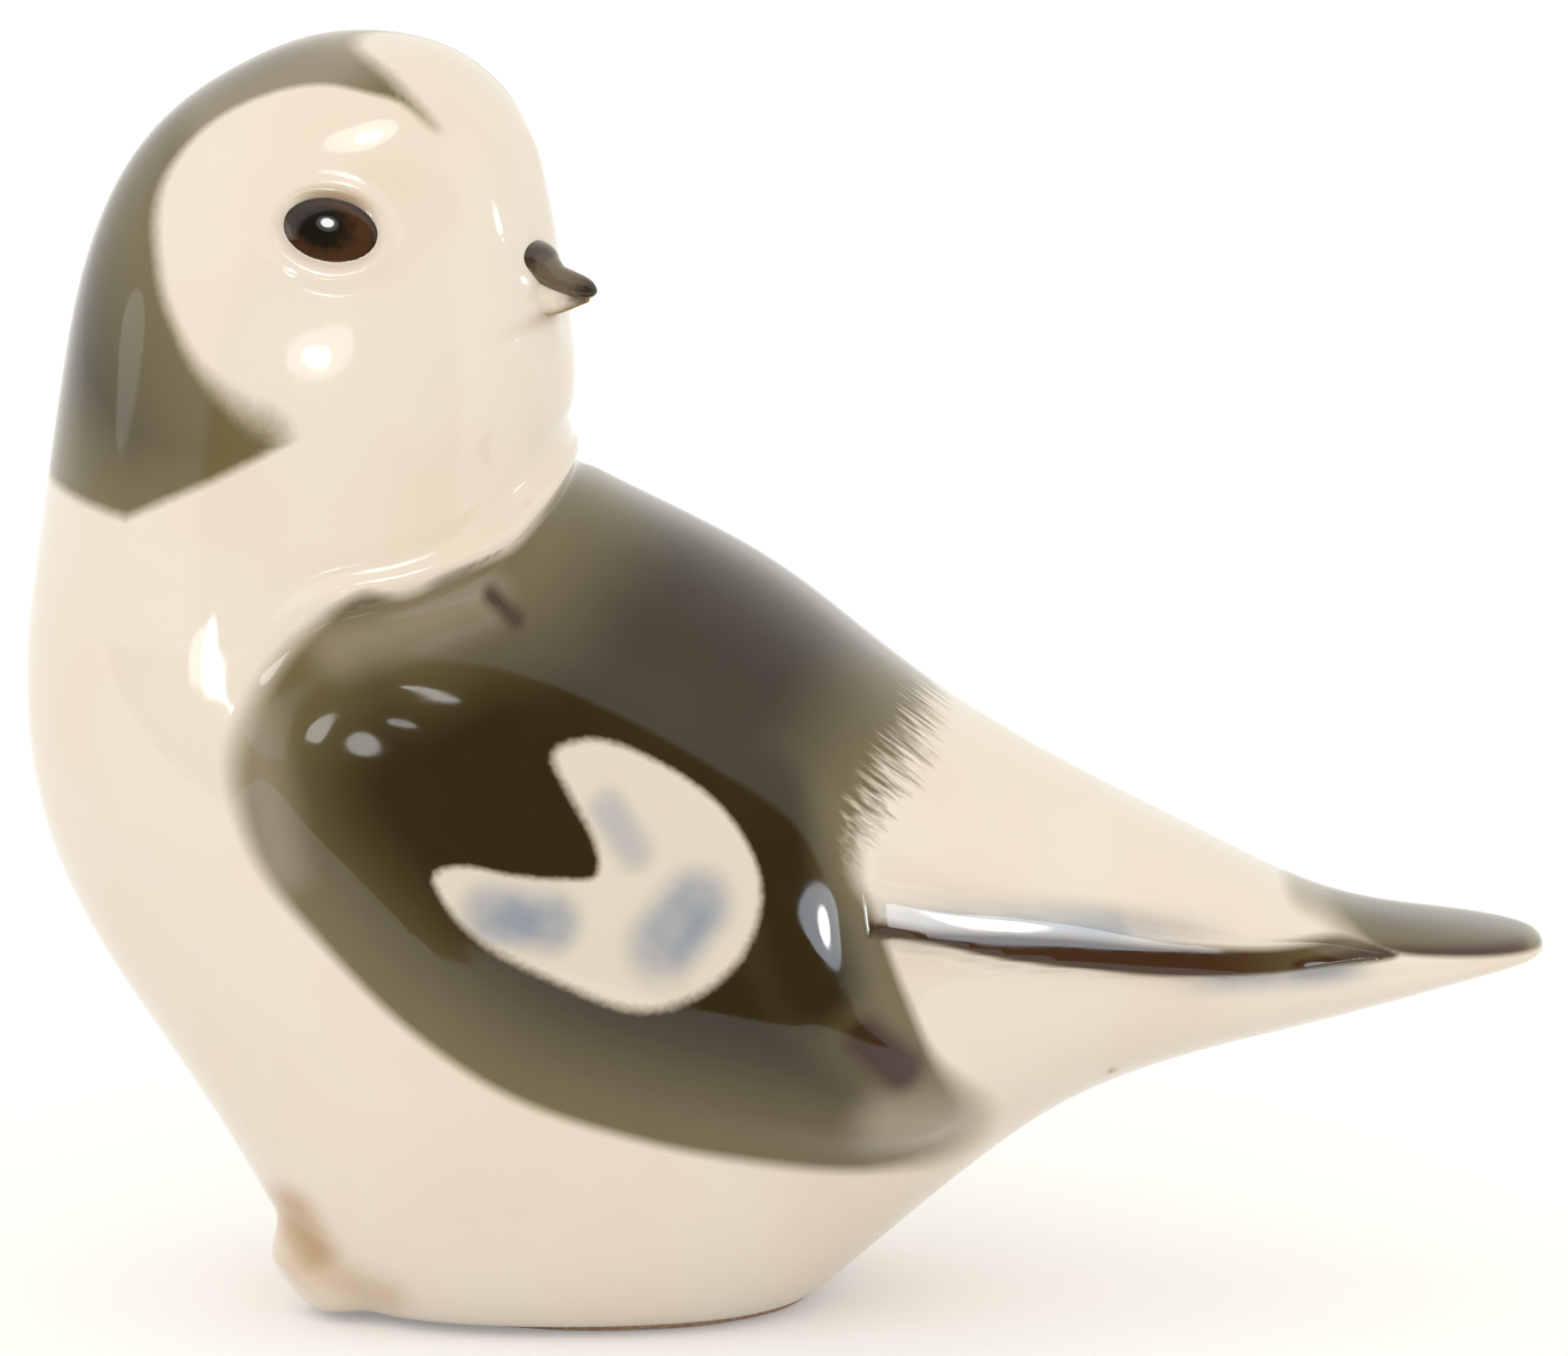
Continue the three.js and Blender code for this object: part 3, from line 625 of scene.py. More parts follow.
def umber_edges(side, flight):
    """The dark edges of the flight feathers and the tail."""
    on_flight = smooth_step(-1, 1, flight) * (1 - smooth_step(*UMBER_END, side[:, 0]))
    distance, _ = line_distance(side, TAIL_EDGE)
    return np.maximum(on_flight, 1 - smooth_step(0, TAIL_EDGE_HALF, distance))


def soft_line(distance, strength, middle, breadth):
    """A line that fades on both sides."""
    return strength * bell(distance - middle, breadth)


def brown_lines_and_shade(places, eyes):
    """Thin brown round the eyes, partly painted shade above them, painted shade in the chin's crease under
    the bill, and a pinhole in the glaze.
    """
    brown = soft_line(np.linalg.norm(places[:, [0, 2]] - PINHOLE, axis=1), *PINHOLE_SHADE)
    for eye in eyes:
        distance, rise = eye_distance(places, eye)
        # partly tan paint and partly painted shade above the eye
        brown += soft_line(distance, *LID_SHADE) * smooth_step(LID_SHADE_FROM, 1.0, rise)
        brown += soft_line(distance, *RIM_SHADE)
    head = in_half_head(places)
    distance, along = line_distance(head, CHIN_LINE)
    # painted shade in the chin's crease
    brown += soft_line(distance, *CHIN_SHADE) * (1 - smooth_step(0, CHIN_SHADE_END, along))
    return np.clip(brown, 0, 1)


def paint(places, eyes):
    """The painter's fields on every point of the skin."""
    side = places[:, [0, 2]]
    band, band_depth = hood(places)
    mantle, mantle_depth = edge_share(side, MANTLE)
    mantle = np.where(neck_height(places) < MANTLE_TOP, mantle, -FAR)
    tail, tail_depth = edge_share(side, TAIL_TOP)
    tail = np.where(places[:, 0] > TAIL_PAINT_X, tail, -FAR)
    flight, _ = edge_share(side, FLIGHT_EDGE)
    patch, _ = edge_share(side, PATCH)
    depths = [band_depth, mantle_depth + stroke(side, *DEEPER), TAIL_DARKENING * tail_depth]
    # blue strokes and hazes; the haze on the ridge also paints a bluish reflection
    blues = [strokes(side, BLUE_STROKES, BLUE_CORE), *(haze(side, *row) for row in BLUE_HAZE_AND_SHEEN)]
    rump, _ = line_distance(side, RUMP_LINE)
    return {
        "dark": np.clip(np.max([band, mantle, tail, flight], axis=0), -FAR, FAR),
        "depth": np.clip(np.max(depths, axis=0), 0, DEEPEST_DEPTH),
        "stain": strokes(side, STAINS),
        "wash_and_sheen": strokes(side, WASHES_AND_SHEEN),
        "hair": bell(rump, RUMP_HAIR),
        "fuzz": np.maximum(soft_line(band, *HOOD_FUZZ), soft_line(patch, *PATCH_FUZZ)),
        "patch": np.clip(patch, -FAR, FAR),
        "blue": np.max(blues, axis=0),
        "sepia_and_shade": brown_lines_and_shade(places, eyes),
        "ochre": strokes(side, FOOT_TINTS) * smooth_step(*FOOT_GAP, np.abs(places[:, 1])),
        "umber": umber_edges(side, flight),
    }


# Pieces are cut out of the one skin, so that their edges meet.


def neck_height(places):
    """Height over the neck seam's plane."""
    away = places[:, [0, 2]] - NECK_CREASE
    return away @ np.array([-math.sin(NECK_SEAM_FALL), math.cos(NECK_SEAM_FALL)])


def cut(table, faces, field):
    """Cuts faces where a column of the table is 0: the grown table, and the faces above and below."""
    value = table[:, field]
    above = value >= 0
    count = above[faces].sum(1)
    crossed = faces[(count == 1) | (count == 2)]
    rows = np.arange(len(crossed))
    lone_above = above[crossed].sum(1) == 1
    lone = np.where(lone_above, above[crossed].argmax(1), above[crossed].argmin(1))
    tip, second, third = [crossed[rows, (lone + turn) % 3] for turn in range(3)]
    edges = np.sort(np.vstack([np.column_stack([tip, second]), np.column_stack([tip, third])]), axis=1)
    edges, index = np.unique(edges, axis=0, return_inverse=True)
    start, end = edges.T
    share = (value[start] / (value[start] - value[end]))[:, None]
    between = table[start] + share * (table[end] - table[start])
    between[:, field] = 0
    new = len(table) + index.reshape(2, -1)
    tips = np.column_stack([tip, new[0], new[1]])
    rests = np.vstack([np.column_stack([new[0], second, third]), np.column_stack([new[0], third, new[1]])])
    twice = np.concatenate([lone_above, lone_above])
    upper = np.vstack([faces[count == 3], tips[lone_above], rests[~twice]])
    lower = np.vstack([faces[count == 0], tips[~lone_above], rests[twice]])
    return np.vstack([table, between]), upper, lower


def grid_faces(rows, columns):
    """Triangles of a grid that is closed round its columns, with a single point at each end."""
    at = np.arange((rows - 2) * columns).reshape(rows - 2, columns) + 1
    beside = np.roll(at, -1, axis=1)
    last = (rows - 2) * columns + 1
    ends = [
        np.column_stack([np.zeros(columns, int), at[0], beside[0]]),
        np.column_stack([np.full(columns, last), beside[-1], at[-1]]),
    ]
    a, b, c, d = at[:-1].ravel(), beside[:-1].ravel(), beside[1:].ravel(), at[1:].ravel()
    return np.vstack([*ends, np.column_stack([a, c, b]), np.column_stack([a, d, c])])


def open_edges(faces):
    """Edges that only one face has, in the direction that the face runs."""
    edges = np.vstack([faces[:, [0, 1]], faces[:, [1, 2]], faces[:, [2, 0]]])
    _, index, count = np.unique(np.sort(edges, axis=1), axis=0, return_index=True, return_counts=True)
    return edges[index[count == 1]]


def add_object(name, data):
    made = bpy.data.objects.new(name, data)
    bpy.context.scene.collection.objects.link(made)
    return made


def add_mesh(name, places, faces, normals=None, fields=None):
    """A mesh object from arrays in millimetres, with smooth normals and painted fields."""
    mesh = bpy.data.meshes.new(name)
    mesh.vertices.add(len(places))
    mesh.vertices.foreach_set("co", (places * MM).astype(np.float32).ravel())
    mesh.loops.add(faces.size)
    mesh.loops.foreach_set("vertex_index", faces.astype(np.int32).ravel())
    mesh.polygons.add(len(faces))
    mesh.polygons.foreach_set("loop_start", np.arange(0, faces.size, 3, dtype=np.int32))
    mesh.update(calc_edges=True)
    mesh.polygons.foreach_set("use_smooth", np.ones(len(faces), bool))
    for field, values in (fields or {}).items():
        attribute = mesh.attributes.new(field, "FLOAT", "POINT")
        attribute.data.foreach_set("value", values.astype(np.float32))
    if normals is not None:
        mesh.normals_split_custom_set_from_vertices(unit(normals).tolist())
    return add_object(name, mesh)


def finish_piece(piece, material):
    """Dresses a piece and puts it in the place of the CAD node of its name."""
    node = piece.name.removeprefix("glazed_")
    piece.data.materials.append(material)
    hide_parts(node)
    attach(piece, "root")


PAINT_FIELDS = (
    "dark", "depth", "stain", "wash_and_sheen", "hair", "fuzz", "patch", "blue", "sepia_and_shade", "ochre", "umber",
)


def shell_piece(name, table, faces, columns, wall):
    """A closed piece: the outer skin, an inner skin under it, and walls along the edges between them."""
    used, faces = np.unique(faces, return_inverse=True)
    faces = faces.reshape(-1, 3)
    rows = table[used]
    outer, normals = rows[:, columns["place"]], rows[:, columns["normal"]]
    inner = rows[:, columns["smooth"]] - wall * unit(rows[:, columns["smooth_normal"]])
    count = len(used)
    start, end = open_edges(faces).T
    walls = np.vstack(
        [np.column_stack([end, start, start + count]), np.column_stack([end, start + count, end + count])]
    )
    solid = np.vstack([faces, faces[:, ::-1] + count, walls])
    fields = {field: np.tile(rows[:, columns[field]].ravel(), 2) for field in PAINT_FIELDS}
    return add_mesh(name, np.vstack([outer, inner]), solid, np.vstack([normals, -normals]), fields)


FLIGHT_MARGIN = 0.12
WING_MARGIN = 0.15


def sculpted_skin():
    """The whole skin as one table of points, its columns by name, its faces and the seats of the eyes."""
    grid = smooth_skin()
    smooth_normals = grid_normals(grid)
    shape = grid.shape
    places, normals = grid.reshape(-1, 3), smooth_normals.reshape(-1, 3)
    eyes = [eye_frame(node, places, normals) for node in ("eye_right", "eye_left")]
    side = places[:, [0, 2]]
    wing, wing_depth = wing_relief(side, shape[:2])
    flight, flight_depth = flight_relief(side)
    foot, foot_away = foot_relief(places)
    height = np.maximum(wing, flight) + collar_relief(side) + face_relief(places, eyes) + foot
    raised = flattened(places + height[:, None] * normals)
    raised_normals = grid_normals(raised.reshape(shape)).reshape(-1, 3)
    fields = paint(places + height[:, None] * normals, eyes)
    seams = {
        "on_head": neck_height(places),
        "on_tail": places[:, 0] - TAIL_SEAM_X,
        "on_wing": wing_depth + WING_MARGIN,
        "on_flight": flight_depth + FLIGHT_MARGIN,
        "on_foot": 1.0 - foot_away,
        "on_left": -places[:, 1],
    }
    parts = {"place": raised, "normal": raised_normals}
    parts.update({"smooth": flattened(places), "smooth_normal": normals})
    parts.update({name: values[:, None] for name, values in {**fields, **seams}.items()})
    columns, first = {}, 0
    for name, values in parts.items():
        columns[name] = list(range(first, first + values.shape[1]))
        first += values.shape[1]
    table = np.hstack(list(parts.values()))
    keep = np.r_[0, COLUMNS : len(table) - COLUMNS, len(table) - COLUMNS]
    return table[keep], columns, grid_faces(shape[0], COLUMNS), eyes


def make_skin_pieces(glaze):
    """Cuts the skin into the castings and applied pieces."""
    table, columns, rest, eyes = sculpted_skin()

    def taken(field, faces):
        nonlocal table
        table, upper, lower = cut(table, faces, columns[field][0])
        return upper, lower

    pieces = {}
    pieces["head_shell"], rest = taken("on_head", rest)
    wings, rest = taken("on_wing", rest)
    pieces["wing_left"], pieces["wing_right"] = taken("on_left", wings)
    flights, rest = taken("on_flight", rest)
    pieces["flight_feathers_left"], pieces["flight_feathers_right"] = taken("on_left", flights)
    feet, rest = taken("on_foot", rest)
    pieces["foot_left"], pieces["foot_right"] = taken("on_left", feet)
    pieces["tail"], pieces["body_shell"] = taken("on_tail", rest)
    for node, faces in pieces.items():
        wall = WALL if node.endswith("shell") else PAD_WALL
        piece = shell_piece("glazed_" + node, table, faces, columns, wall)
        finish_piece(piece, glaze)
    return eyes


def make_eye(node, eye, material):
    """A domed eye that sits in its socket, with its rings as a painted field."""
    middle, front, above, out = eye
    share = np.sin(np.linspace(0, math.pi / 2, EYE_RINGS + 1))[1:]
    angle = full_turn(EYE_COLUMNS)
    level = EYE_HALF[0] * EYE_OVERLAP * np.outer(share, np.cos(angle)).ravel()
    rise = EYE_HALF[1] * EYE_OVERLAP * np.outer(share, np.sin(angle)).ravel()
    dome = np.repeat(EYE_RISE * np.sqrt(1 - EYE_FLATNESS * share**2), EYE_COLUMNS)
    sink = (level**2 + rise**2) / (2 * HEAD_RADIUS) + SOCKET_DEPTH * EYE_SINK
    points = middle + np.outer(level, front) + np.outer(rise, above) + np.outer(dome - sink, out)
    top = middle + (EYE_RISE - SOCKET_DEPTH * EYE_SINK) * out
    places = np.vstack([top, points, middle - EYE_ROOT * out])
    faces = grid_faces(EYE_RINGS + 2, EYE_COLUMNS)
    corner, second, third = places[faces[0]]
    outward = np.cross(second - corner, third - corner) @ out > 0
    fields = {
        "ring": np.concatenate([[0], np.repeat(share, EYE_COLUMNS), [1]]),
        "fore": np.concatenate([[0], level / EYE_HALF[0], [0]]),
        "rise": np.concatenate([[0], rise / EYE_HALF[1], [0]]),
    }
    piece = add_mesh("glazed_" + node, places, faces if outward else faces[:, ::-1], fields=fields)
    finish_piece(piece, material)


# The bill, along the head's middle plane: forward, z, half height and half width.
UPPER_BILL = [
    (10.6, 54.85, 1.05, 2.25), (11.4, 54.85, 1.03, 2.1), (12.0, 54.74, 0.98, 1.75),
    (12.5, 54.36, 0.82, 1.3), (13.1, 53.98, 0.71, 0.98), (13.9, 53.75, 0.66, 0.84),
    (14.6, 53.56, 0.6, 0.74), (15.05, 53.46, 0.46, 0.56), (15.3, 53.42, 0.27, 0.33),
]
LOWER_BILL = [
    (10.6, 53.1, 1.5, 2.8), (11.6, 53.05, 1.3, 2.4), (12.3, 53.0, 1.12, 1.8), (12.9, 52.95, 0.96, 1.25),
    (13.6, 52.95, 0.7, 0.86), (14.3, 53.0, 0.44, 0.58), (14.9, 53.05, 0.24, 0.34),
]
MANDIBLE_COLUMNS = 40
MANDIBLE_TIP = 0.7  # how far the tip rounds out, as a share of the last half height


def make_mandible(node, profile, material):
    """A curved tapering mandible with a rounded section."""
    path = curve_through(profile, LINE_STEPS)
    angle = full_turn(MANDIBLE_COLUMNS)
    ahead = unit(np.gradient(path[:, :2], axis=0))
    rings = []
    for (forward, z, tall, wide), (run, climb) in zip(path, ahead):
        along = forward - climb * tall * np.sin(angle)
        height = z + run * tall * np.sin(angle)
        rings.append(from_head_frame(along, wide * np.cos(angle), height))
    first, last = path[0], path[-1]
    tip = last[:2] + MANDIBLE_TIP * last[2] * ahead[-1]
    places = np.vstack([from_head_frame(first[0], 0, first[1]), *rings, from_head_frame(tip[0], 0, tip[1])])
    faces = grid_faces(len(rings) + 2, MANDIBLE_COLUMNS)[:, ::-1]
    run = (path[:, 0] - first[0]) / (last[0] - first[0])
    fields = {
        "along": np.concatenate([[0], np.repeat(run, MANDIBLE_COLUMNS), [1]]),
        "rise": np.concatenate([[0], np.tile(np.sin(angle), len(rings)), [0]]),
    }
    finish_piece(add_mesh("glazed_" + node, places, faces, fields=fields), material)


RING_COLUMNS = 160
RING_STEPS = 20
RING_ROUNDING = 0.5
RING_WAVER = [(0.05, 5, 0), (0.03, 11, 1)]  # height, waves round the ring and where they start


def make_foot_ring(material):
    """The unglazed ring that the figure stands on, worn round at its edges."""
    section = full_turn(RING_STEPS)
    wide = powered(np.cos(section), RING_ROUNDING) * RING_BAND / 2
    tall = powered(np.sin(section), RING_ROUNDING) * RING_HEIGHT / 2
    turn = full_turn(RING_COLUMNS)
    waver = sum(height * np.sin(waves * turn + start) for height, waves, start in RING_WAVER)
    reach = np.add.outer(waver, wide - RING_BAND / 2)
    x = RING_X + np.cos(turn)[:, None] * (RING_HALF[0] + reach)
    y = np.sin(turn)[:, None] * (RING_HALF[1] + reach)
    z = np.broadcast_to(tall + RING_HEIGHT / 2, x.shape)
    at = np.arange(x.size).reshape(x.shape)
    ahead, beside = np.roll(at, -1, axis=0), np.roll(at, -1, axis=1)
    both = np.roll(ahead, -1, axis=1)
    a, b, c, d = at.ravel(), ahead.ravel(), both.ravel(), beside.ravel()
    faces = np.vstack([np.column_stack([a, b, c]), np.column_stack([a, c, d])])
    piece = add_mesh("glazed_foot_ring", np.stack([x, y, z], 2).reshape(-1, 3), faces)
    finish_piece(piece, material)


# Materials.

CREAM = (0.87, 0.78, 0.68, 1)
CREAM_WARM = (0.85, 0.74, 0.62, 1)
DEEP_BROWN = (0.03, 0.018, 0.004, 1)
# pale brown where the dark paint is thin, also used as a painted sheen on the dark glaze
WASH_AND_SHEEN = (0.44, 0.37, 0.29, 1)
# olive for the dark paint's edges: thinner paint, and also a painted reflection of the pale room on the
# glaze
OLIVE_GREY = (0.165, 0.132, 0.06, 1)
UMBER = (0.055, 0.022, 0.008, 1)
RED_BROWN = (0.045, 0.02, 0.008, 1)
FRINGE = (0.40, 0.30, 0.17, 1)
# blue-grey for the strokes and hazes, which on the ridge also paint a bluish reflection
BLUE_GREY = (0.235, 0.29, 0.38, 1)
PATCH_CREAM = (0.8, 0.71, 0.6, 1)
# brown for the lines round the eyes and the pinhole, and for painted shade above the eyes and in the chin's
# crease
SEPIA_AND_SHADE = (0.36, 0.23, 0.11, 1)
OCHRE = (0.5, 0.325, 0.155, 1)
PUPIL = (0.006, 0.004, 0.003, 1)
IRIS = (0.065, 0.028, 0.011, 1)
BILL_DARK = (0.145, 0.11, 0.07, 1)
BILL_BLACK = (0.018, 0.012, 0.008, 1)
# the upper bill's dark root: partly the nostril and partly painted shade where it leaves the skin
BILL_ROOT_SHADE = (0.05, 0.034, 0.024, 1)
BILL_PALE = (0.86, 0.76, 0.64, 1)
# brown under the mandibles: a line that also paints the shade beneath them
BILL_BROWN_SHADE = (0.42, 0.27, 0.12, 1)
BISQUE = (0.46, 0.29, 0.19, 1)
BISQUE_PALE = (0.62, 0.44, 0.31, 1)
GLAZE_IOR = 1.5
GLAZE_ROUGHNESS = (0.05, 0.1)
RIPPLE_HEIGHT = 0.0003
SKIN_RIPPLE = 0.12  # share of that height
EYE_RIPPLE = 0.05
BILL_RIPPLE = 0.08
# Noise, in cycles per metre.
RIPPLE_CYCLES = 160
PIN_CYCLES = 700
CLOUD_CYCLES = 90
BRISTLE_CYCLES = 2600
BLUE_CYCLES = 260
IRIS_CYCLES = 1800
BILL_CYCLES = 2200
GRAIN_CYCLES = 3000
# Parts of the noise's range that the ramps take up.
PIN_RANGE = (0.3, 0.8)
CLOUD_RANGE = (0.35, 0.7)
BLUE_RANGE = (0.3, 0.7)
SPECK_RANGE = (0.35, 0.7)
GRAIN_RANGE = (0.2, 0.8)
HAIR_LEAN = math.radians(30)
HAIR_SIZE = (0.006, 0.0003)  # length and breadth of a brush hair's mark
HAIR_STRENGTH = 6.0
FUZZ_STRENGTH = 2.4
EDGE_FADE = 1.2  # how far paint fades on either side of its edge, as a multiple of the softness
DARKENING_DEPTH = 8.0  # from the paint's edge to where it is darkest; the paler olive nearer the edge is partly thinner paint and partly painted reflection of the pale room
CLOUD_THICKNESS = 0.3
FRINGE_STRENGTH = 0.7
BLUE_STRENGTH = (0.6, 1.0)
PUPIL_OFFSET = (0.2, -0.1)  # towards the nape and up, as shares of the eye's half sizes
IRIS_MOTTLE = 0.6
IRIS_START = (0.7, 1.2)  # from the pupil to the iris, as shares of the eye's half sizes
IRIS_RIM = (1.0, 0.85)  # from the eye's dark rim in to the iris
BILL_MOTTLE = 0.2
BILL_ROOT_END = (0.56, 0.4)  # shares of the bill's length where the dark at its root ends: partly the nostril and partly painted shade where the bill leaves the skin
BILL_TOP_TIP = 0.8  # shares of the length where the dark tip starts
BILL_UNDER_TIP = 0.75
BILL_TIP_FADE = 0.35
BILL_BELOW = (-0.55, -1.0)  # the way round from the side to the underside, where a brown line also paints the shade under the mandible
BISQUE_ROUGHNESS = (0.7, 0.95)
GRAIN_BUMP = (0.5, 0.0001)  # strength and height


class Shading:
    """A material whose nodes are made by short calls."""

    def __init__(self, name):
        self.material = bpy.data.materials.new(name)
        self.material.use_nodes = True
        self.tree = self.material.node_tree

    def fill(self, node, inputs):
        """Sets a node's inputs to numbers, or links them to sockets."""
        for name, value in inputs.items():
            if isinstance(value, bpy.types.NodeSocket):
                self.tree.links.new(value, node.inputs[name])
            else:
                node.inputs[name].default_value = value

    def node(self, kind, inputs, **settings):
        made = self.tree.nodes.new(kind)
        for name, value in settings.items():
            setattr(made, name, value)
        self.fill(made, inputs)
        return made

    def surface(self, **inputs):
        """Sets the surface's inputs, named with underscores, and gives the finished material."""
        named = {name.replace("_", " "): value for name, value in inputs.items()}
        self.fill(self.tree.nodes["Principled BSDF"], named)
        return self.material

    def only(self, shader):
        """Makes a shader the whole surface, and gives the finished material."""
        self.tree.nodes.remove(self.tree.nodes["Principled BSDF"])
        self.fill(self.tree.nodes["Material Output"], {"Surface": shader.outputs[0]})
        return self.material

    def place(self):
        return self.node("ShaderNodeTexCoord", {}).outputs["Object"]

    def field(self, name):
        return self.node("ShaderNodeAttribute", {}, attribute_name=name).outputs["Fac"]

    def maths(self, operation, first, second=0.0):
        return self.node("ShaderNodeMath", {0: first, 1: second}, operation=operation).outputs[0]

    def times(self, first, second):
        return self.maths("MULTIPLY", first, second)

    def plus(self, first, second):
        return self.maths("ADD", first, second)

    def centred(self, value):
        return self.maths("SUBTRACT", value, 0.5)

    def rest(self, share):
        return self.maths("SUBTRACT", 1.0, share)

    def ramp(self, value, low, high, start=0.0, end=1.0):
        """A smooth change from start to end as the value goes from low to high."""
        inputs = {"Value": value, "From Min": low, "From Max": high, "To Min": start, "To Max": end}
        return self.node("ShaderNodeMapRange", inputs, interpolation_type="SMOOTHSTEP").outputs[0]

    def mix(self, share, first, second):
        return self.node("ShaderNodeMix", {0: share, 6: first, 7: second}, data_type="RGBA").outputs[2]

    def noise(self, cycles, detail=2.0, vector=None):
        inputs = {"Vector": vector or self.place(), "Scale": cycles, "Detail": detail}
        return self.node("ShaderNodeTexNoise", inputs).outputs["Fac"]

    def streaks(self, lean, length, breadth):
        """Noise drawn out along brush hairs that lean by an angle in the side view."""
        turn = {"Vector": self.place(), "Rotation": (0, lean, 0), "Scale": (length, breadth, breadth)}
        vector = self.node("ShaderNodeMapping", turn, vector_type="TEXTURE").outputs[0]
        return self.noise(1.0, 3.0, vector)

    def bump(self, strength, distance, height):
        inputs = {"Strength": strength, "Distance": distance, "Height": height}
        return self.node("ShaderNodeBump", inputs).outputs[0]


def glazed(paint, colour, ripple):
    """Puts the clear glaze over a colour: glossy, with a slow ripple and fine pin marks."""
    normal = paint.bump(ripple, RIPPLE_HEIGHT, paint.noise(RIPPLE_CYCLES, 1.0))
    rough = paint.ramp(paint.noise(PIN_CYCLES, 3.0), *PIN_RANGE, *GLAZE_ROUGHNESS)
    return paint.surface(Base_Color=colour, Normal=normal, Roughness=rough, IOR=GLAZE_IOR)


def dark_pigment(paint, cloud):
    """The dark paint's colour: olive near its edges, where it is thinner and also carries a painted
    reflection of the pale room, and deep brown further in, where it pools.
    """
    # paler towards the paint's edge: thinner paint and painted reflection
    darkening = paint.ramp(paint.field("depth"), 0.0, DARKENING_DEPTH)
    darkening = paint.plus(darkening, paint.times(paint.centred(cloud), CLOUD_THICKNESS))
    colour = paint.mix(darkening, OLIVE_GREY, DEEP_BROWN)
    # the wash is thin paint and, in places, a painted sheen on the dark glaze
    for name, tint in (("umber", UMBER), ("wash_and_sheen", WASH_AND_SHEEN), ("stain", RED_BROWN)):
        colour = paint.mix(paint.field(name), colour, tint)
    return colour


def painted_glaze():
    """Cream porcelain under the painted plumage and a clear glaze."""
    paint = Shading("painted_glaze")
    cloud = paint.noise(CLOUD_CYCLES)
    colour = paint.mix(paint.ramp(cloud, *CLOUD_RANGE), CREAM, CREAM_WARM)
    colour = paint.mix(paint.ramp(paint.field("ochre"), 0.0, 1.0), colour, OCHRE)
    ragged = paint.times(paint.centred(paint.noise(BRISTLE_CYCLES, 4.0)), FUZZ_STRENGTH)
    ragged = paint.times(ragged, paint.field("fuzz"))
    hairs = paint.times(paint.centred(paint.streaks(HAIR_LEAN, *HAIR_SIZE)), HAIR_STRENGTH)
    hairs = paint.times(hairs, paint.field("hair"))
    edge = paint.plus(paint.plus(paint.field("dark"), ragged), hairs)
    spared = paint.ramp(paint.plus(paint.field("patch"), ragged), -EDGE_FADE, EDGE_FADE)
    dark = paint.times(paint.ramp(edge, -EDGE_FADE, EDGE_FADE), paint.rest(spared))
    colour = paint.mix(spared, colour, PATCH_CREAM)
    uneven = paint.ramp(paint.noise(BLUE_CYCLES), *BLUE_RANGE, *BLUE_STRENGTH)
    colour = paint.mix(paint.times(paint.field("blue"), uneven), colour, BLUE_GREY)
    colour = paint.mix(dark, colour, dark_pigment(paint, cloud))
    fringe = paint.times(paint.times(paint.rest(dark), dark), FRINGE_STRENGTH)
    colour = paint.mix(fringe, colour, FRINGE)
    # brown lines and painted shade over the rest
    return glazed(paint, paint.mix(paint.field("sepia_and_shade"), colour, SEPIA_AND_SHADE), SKIN_RIPPLE)


def eye_glaze():
    """A black pupil, a little off the middle, in a dark red-brown iris."""
    paint = Shading("eye_glaze")
    ahead, above = [paint.plus(paint.field(name), by) for name, by in zip(("fore", "rise"), PUPIL_OFFSET)]
    ring = paint.maths("SQRT", paint.plus(paint.times(ahead, ahead), paint.times(above, above)))
    ring = paint.plus(ring, paint.times(paint.noise(IRIS_CYCLES, 3.0), IRIS_MOTTLE))
    iris = paint.times(paint.ramp(ring, *IRIS_START), paint.ramp(paint.field("ring"), *IRIS_RIM))
    return glazed(paint, paint.mix(iris, PUPIL, IRIS), EYE_RIPPLE)


def bill_glaze(name, shade, root, tip, tip_from):
    """A mandible that darkens along its length, with dark at its root that is partly the nostril and partly
    painted shade where it leaves the skin, and brown underneath that also paints the shade under it.
    """
    paint = Shading(name)
    along = paint.plus(paint.field("along"), paint.times(paint.noise(BILL_CYCLES, 3.0), BILL_MOTTLE))
    colour = paint.mix(paint.ramp(along, tip_from, tip_from + BILL_TIP_FADE), root, tip)
    # dark at the root: partly the nostril and partly painted shade
    colour = paint.mix(paint.ramp(along, *BILL_ROOT_END), colour, shade)
    # brown underneath, also painted shade under the mandible
    below = paint.ramp(paint.field("rise"), *BILL_BELOW)
    return glazed(paint, paint.mix(below, colour, BILL_BROWN_SHADE), BILL_RIPPLE)


def bisque():
    """Bare fired clay, gritty and dull."""
    clay = Shading("bisque")
    grain = clay.noise(GRAIN_CYCLES, 4.0)
    colour = clay.mix(clay.ramp(grain, *SPECK_RANGE), BISQUE, BISQUE_PALE)
    rough = clay.ramp(grain, *GRAIN_RANGE, *BISQUE_ROUGHNESS)
    return clay.surface(Base_Color=colour, Normal=clay.bump(*GRAIN_BUMP, grain), Roughness=rough)


# The floor, light and camera.

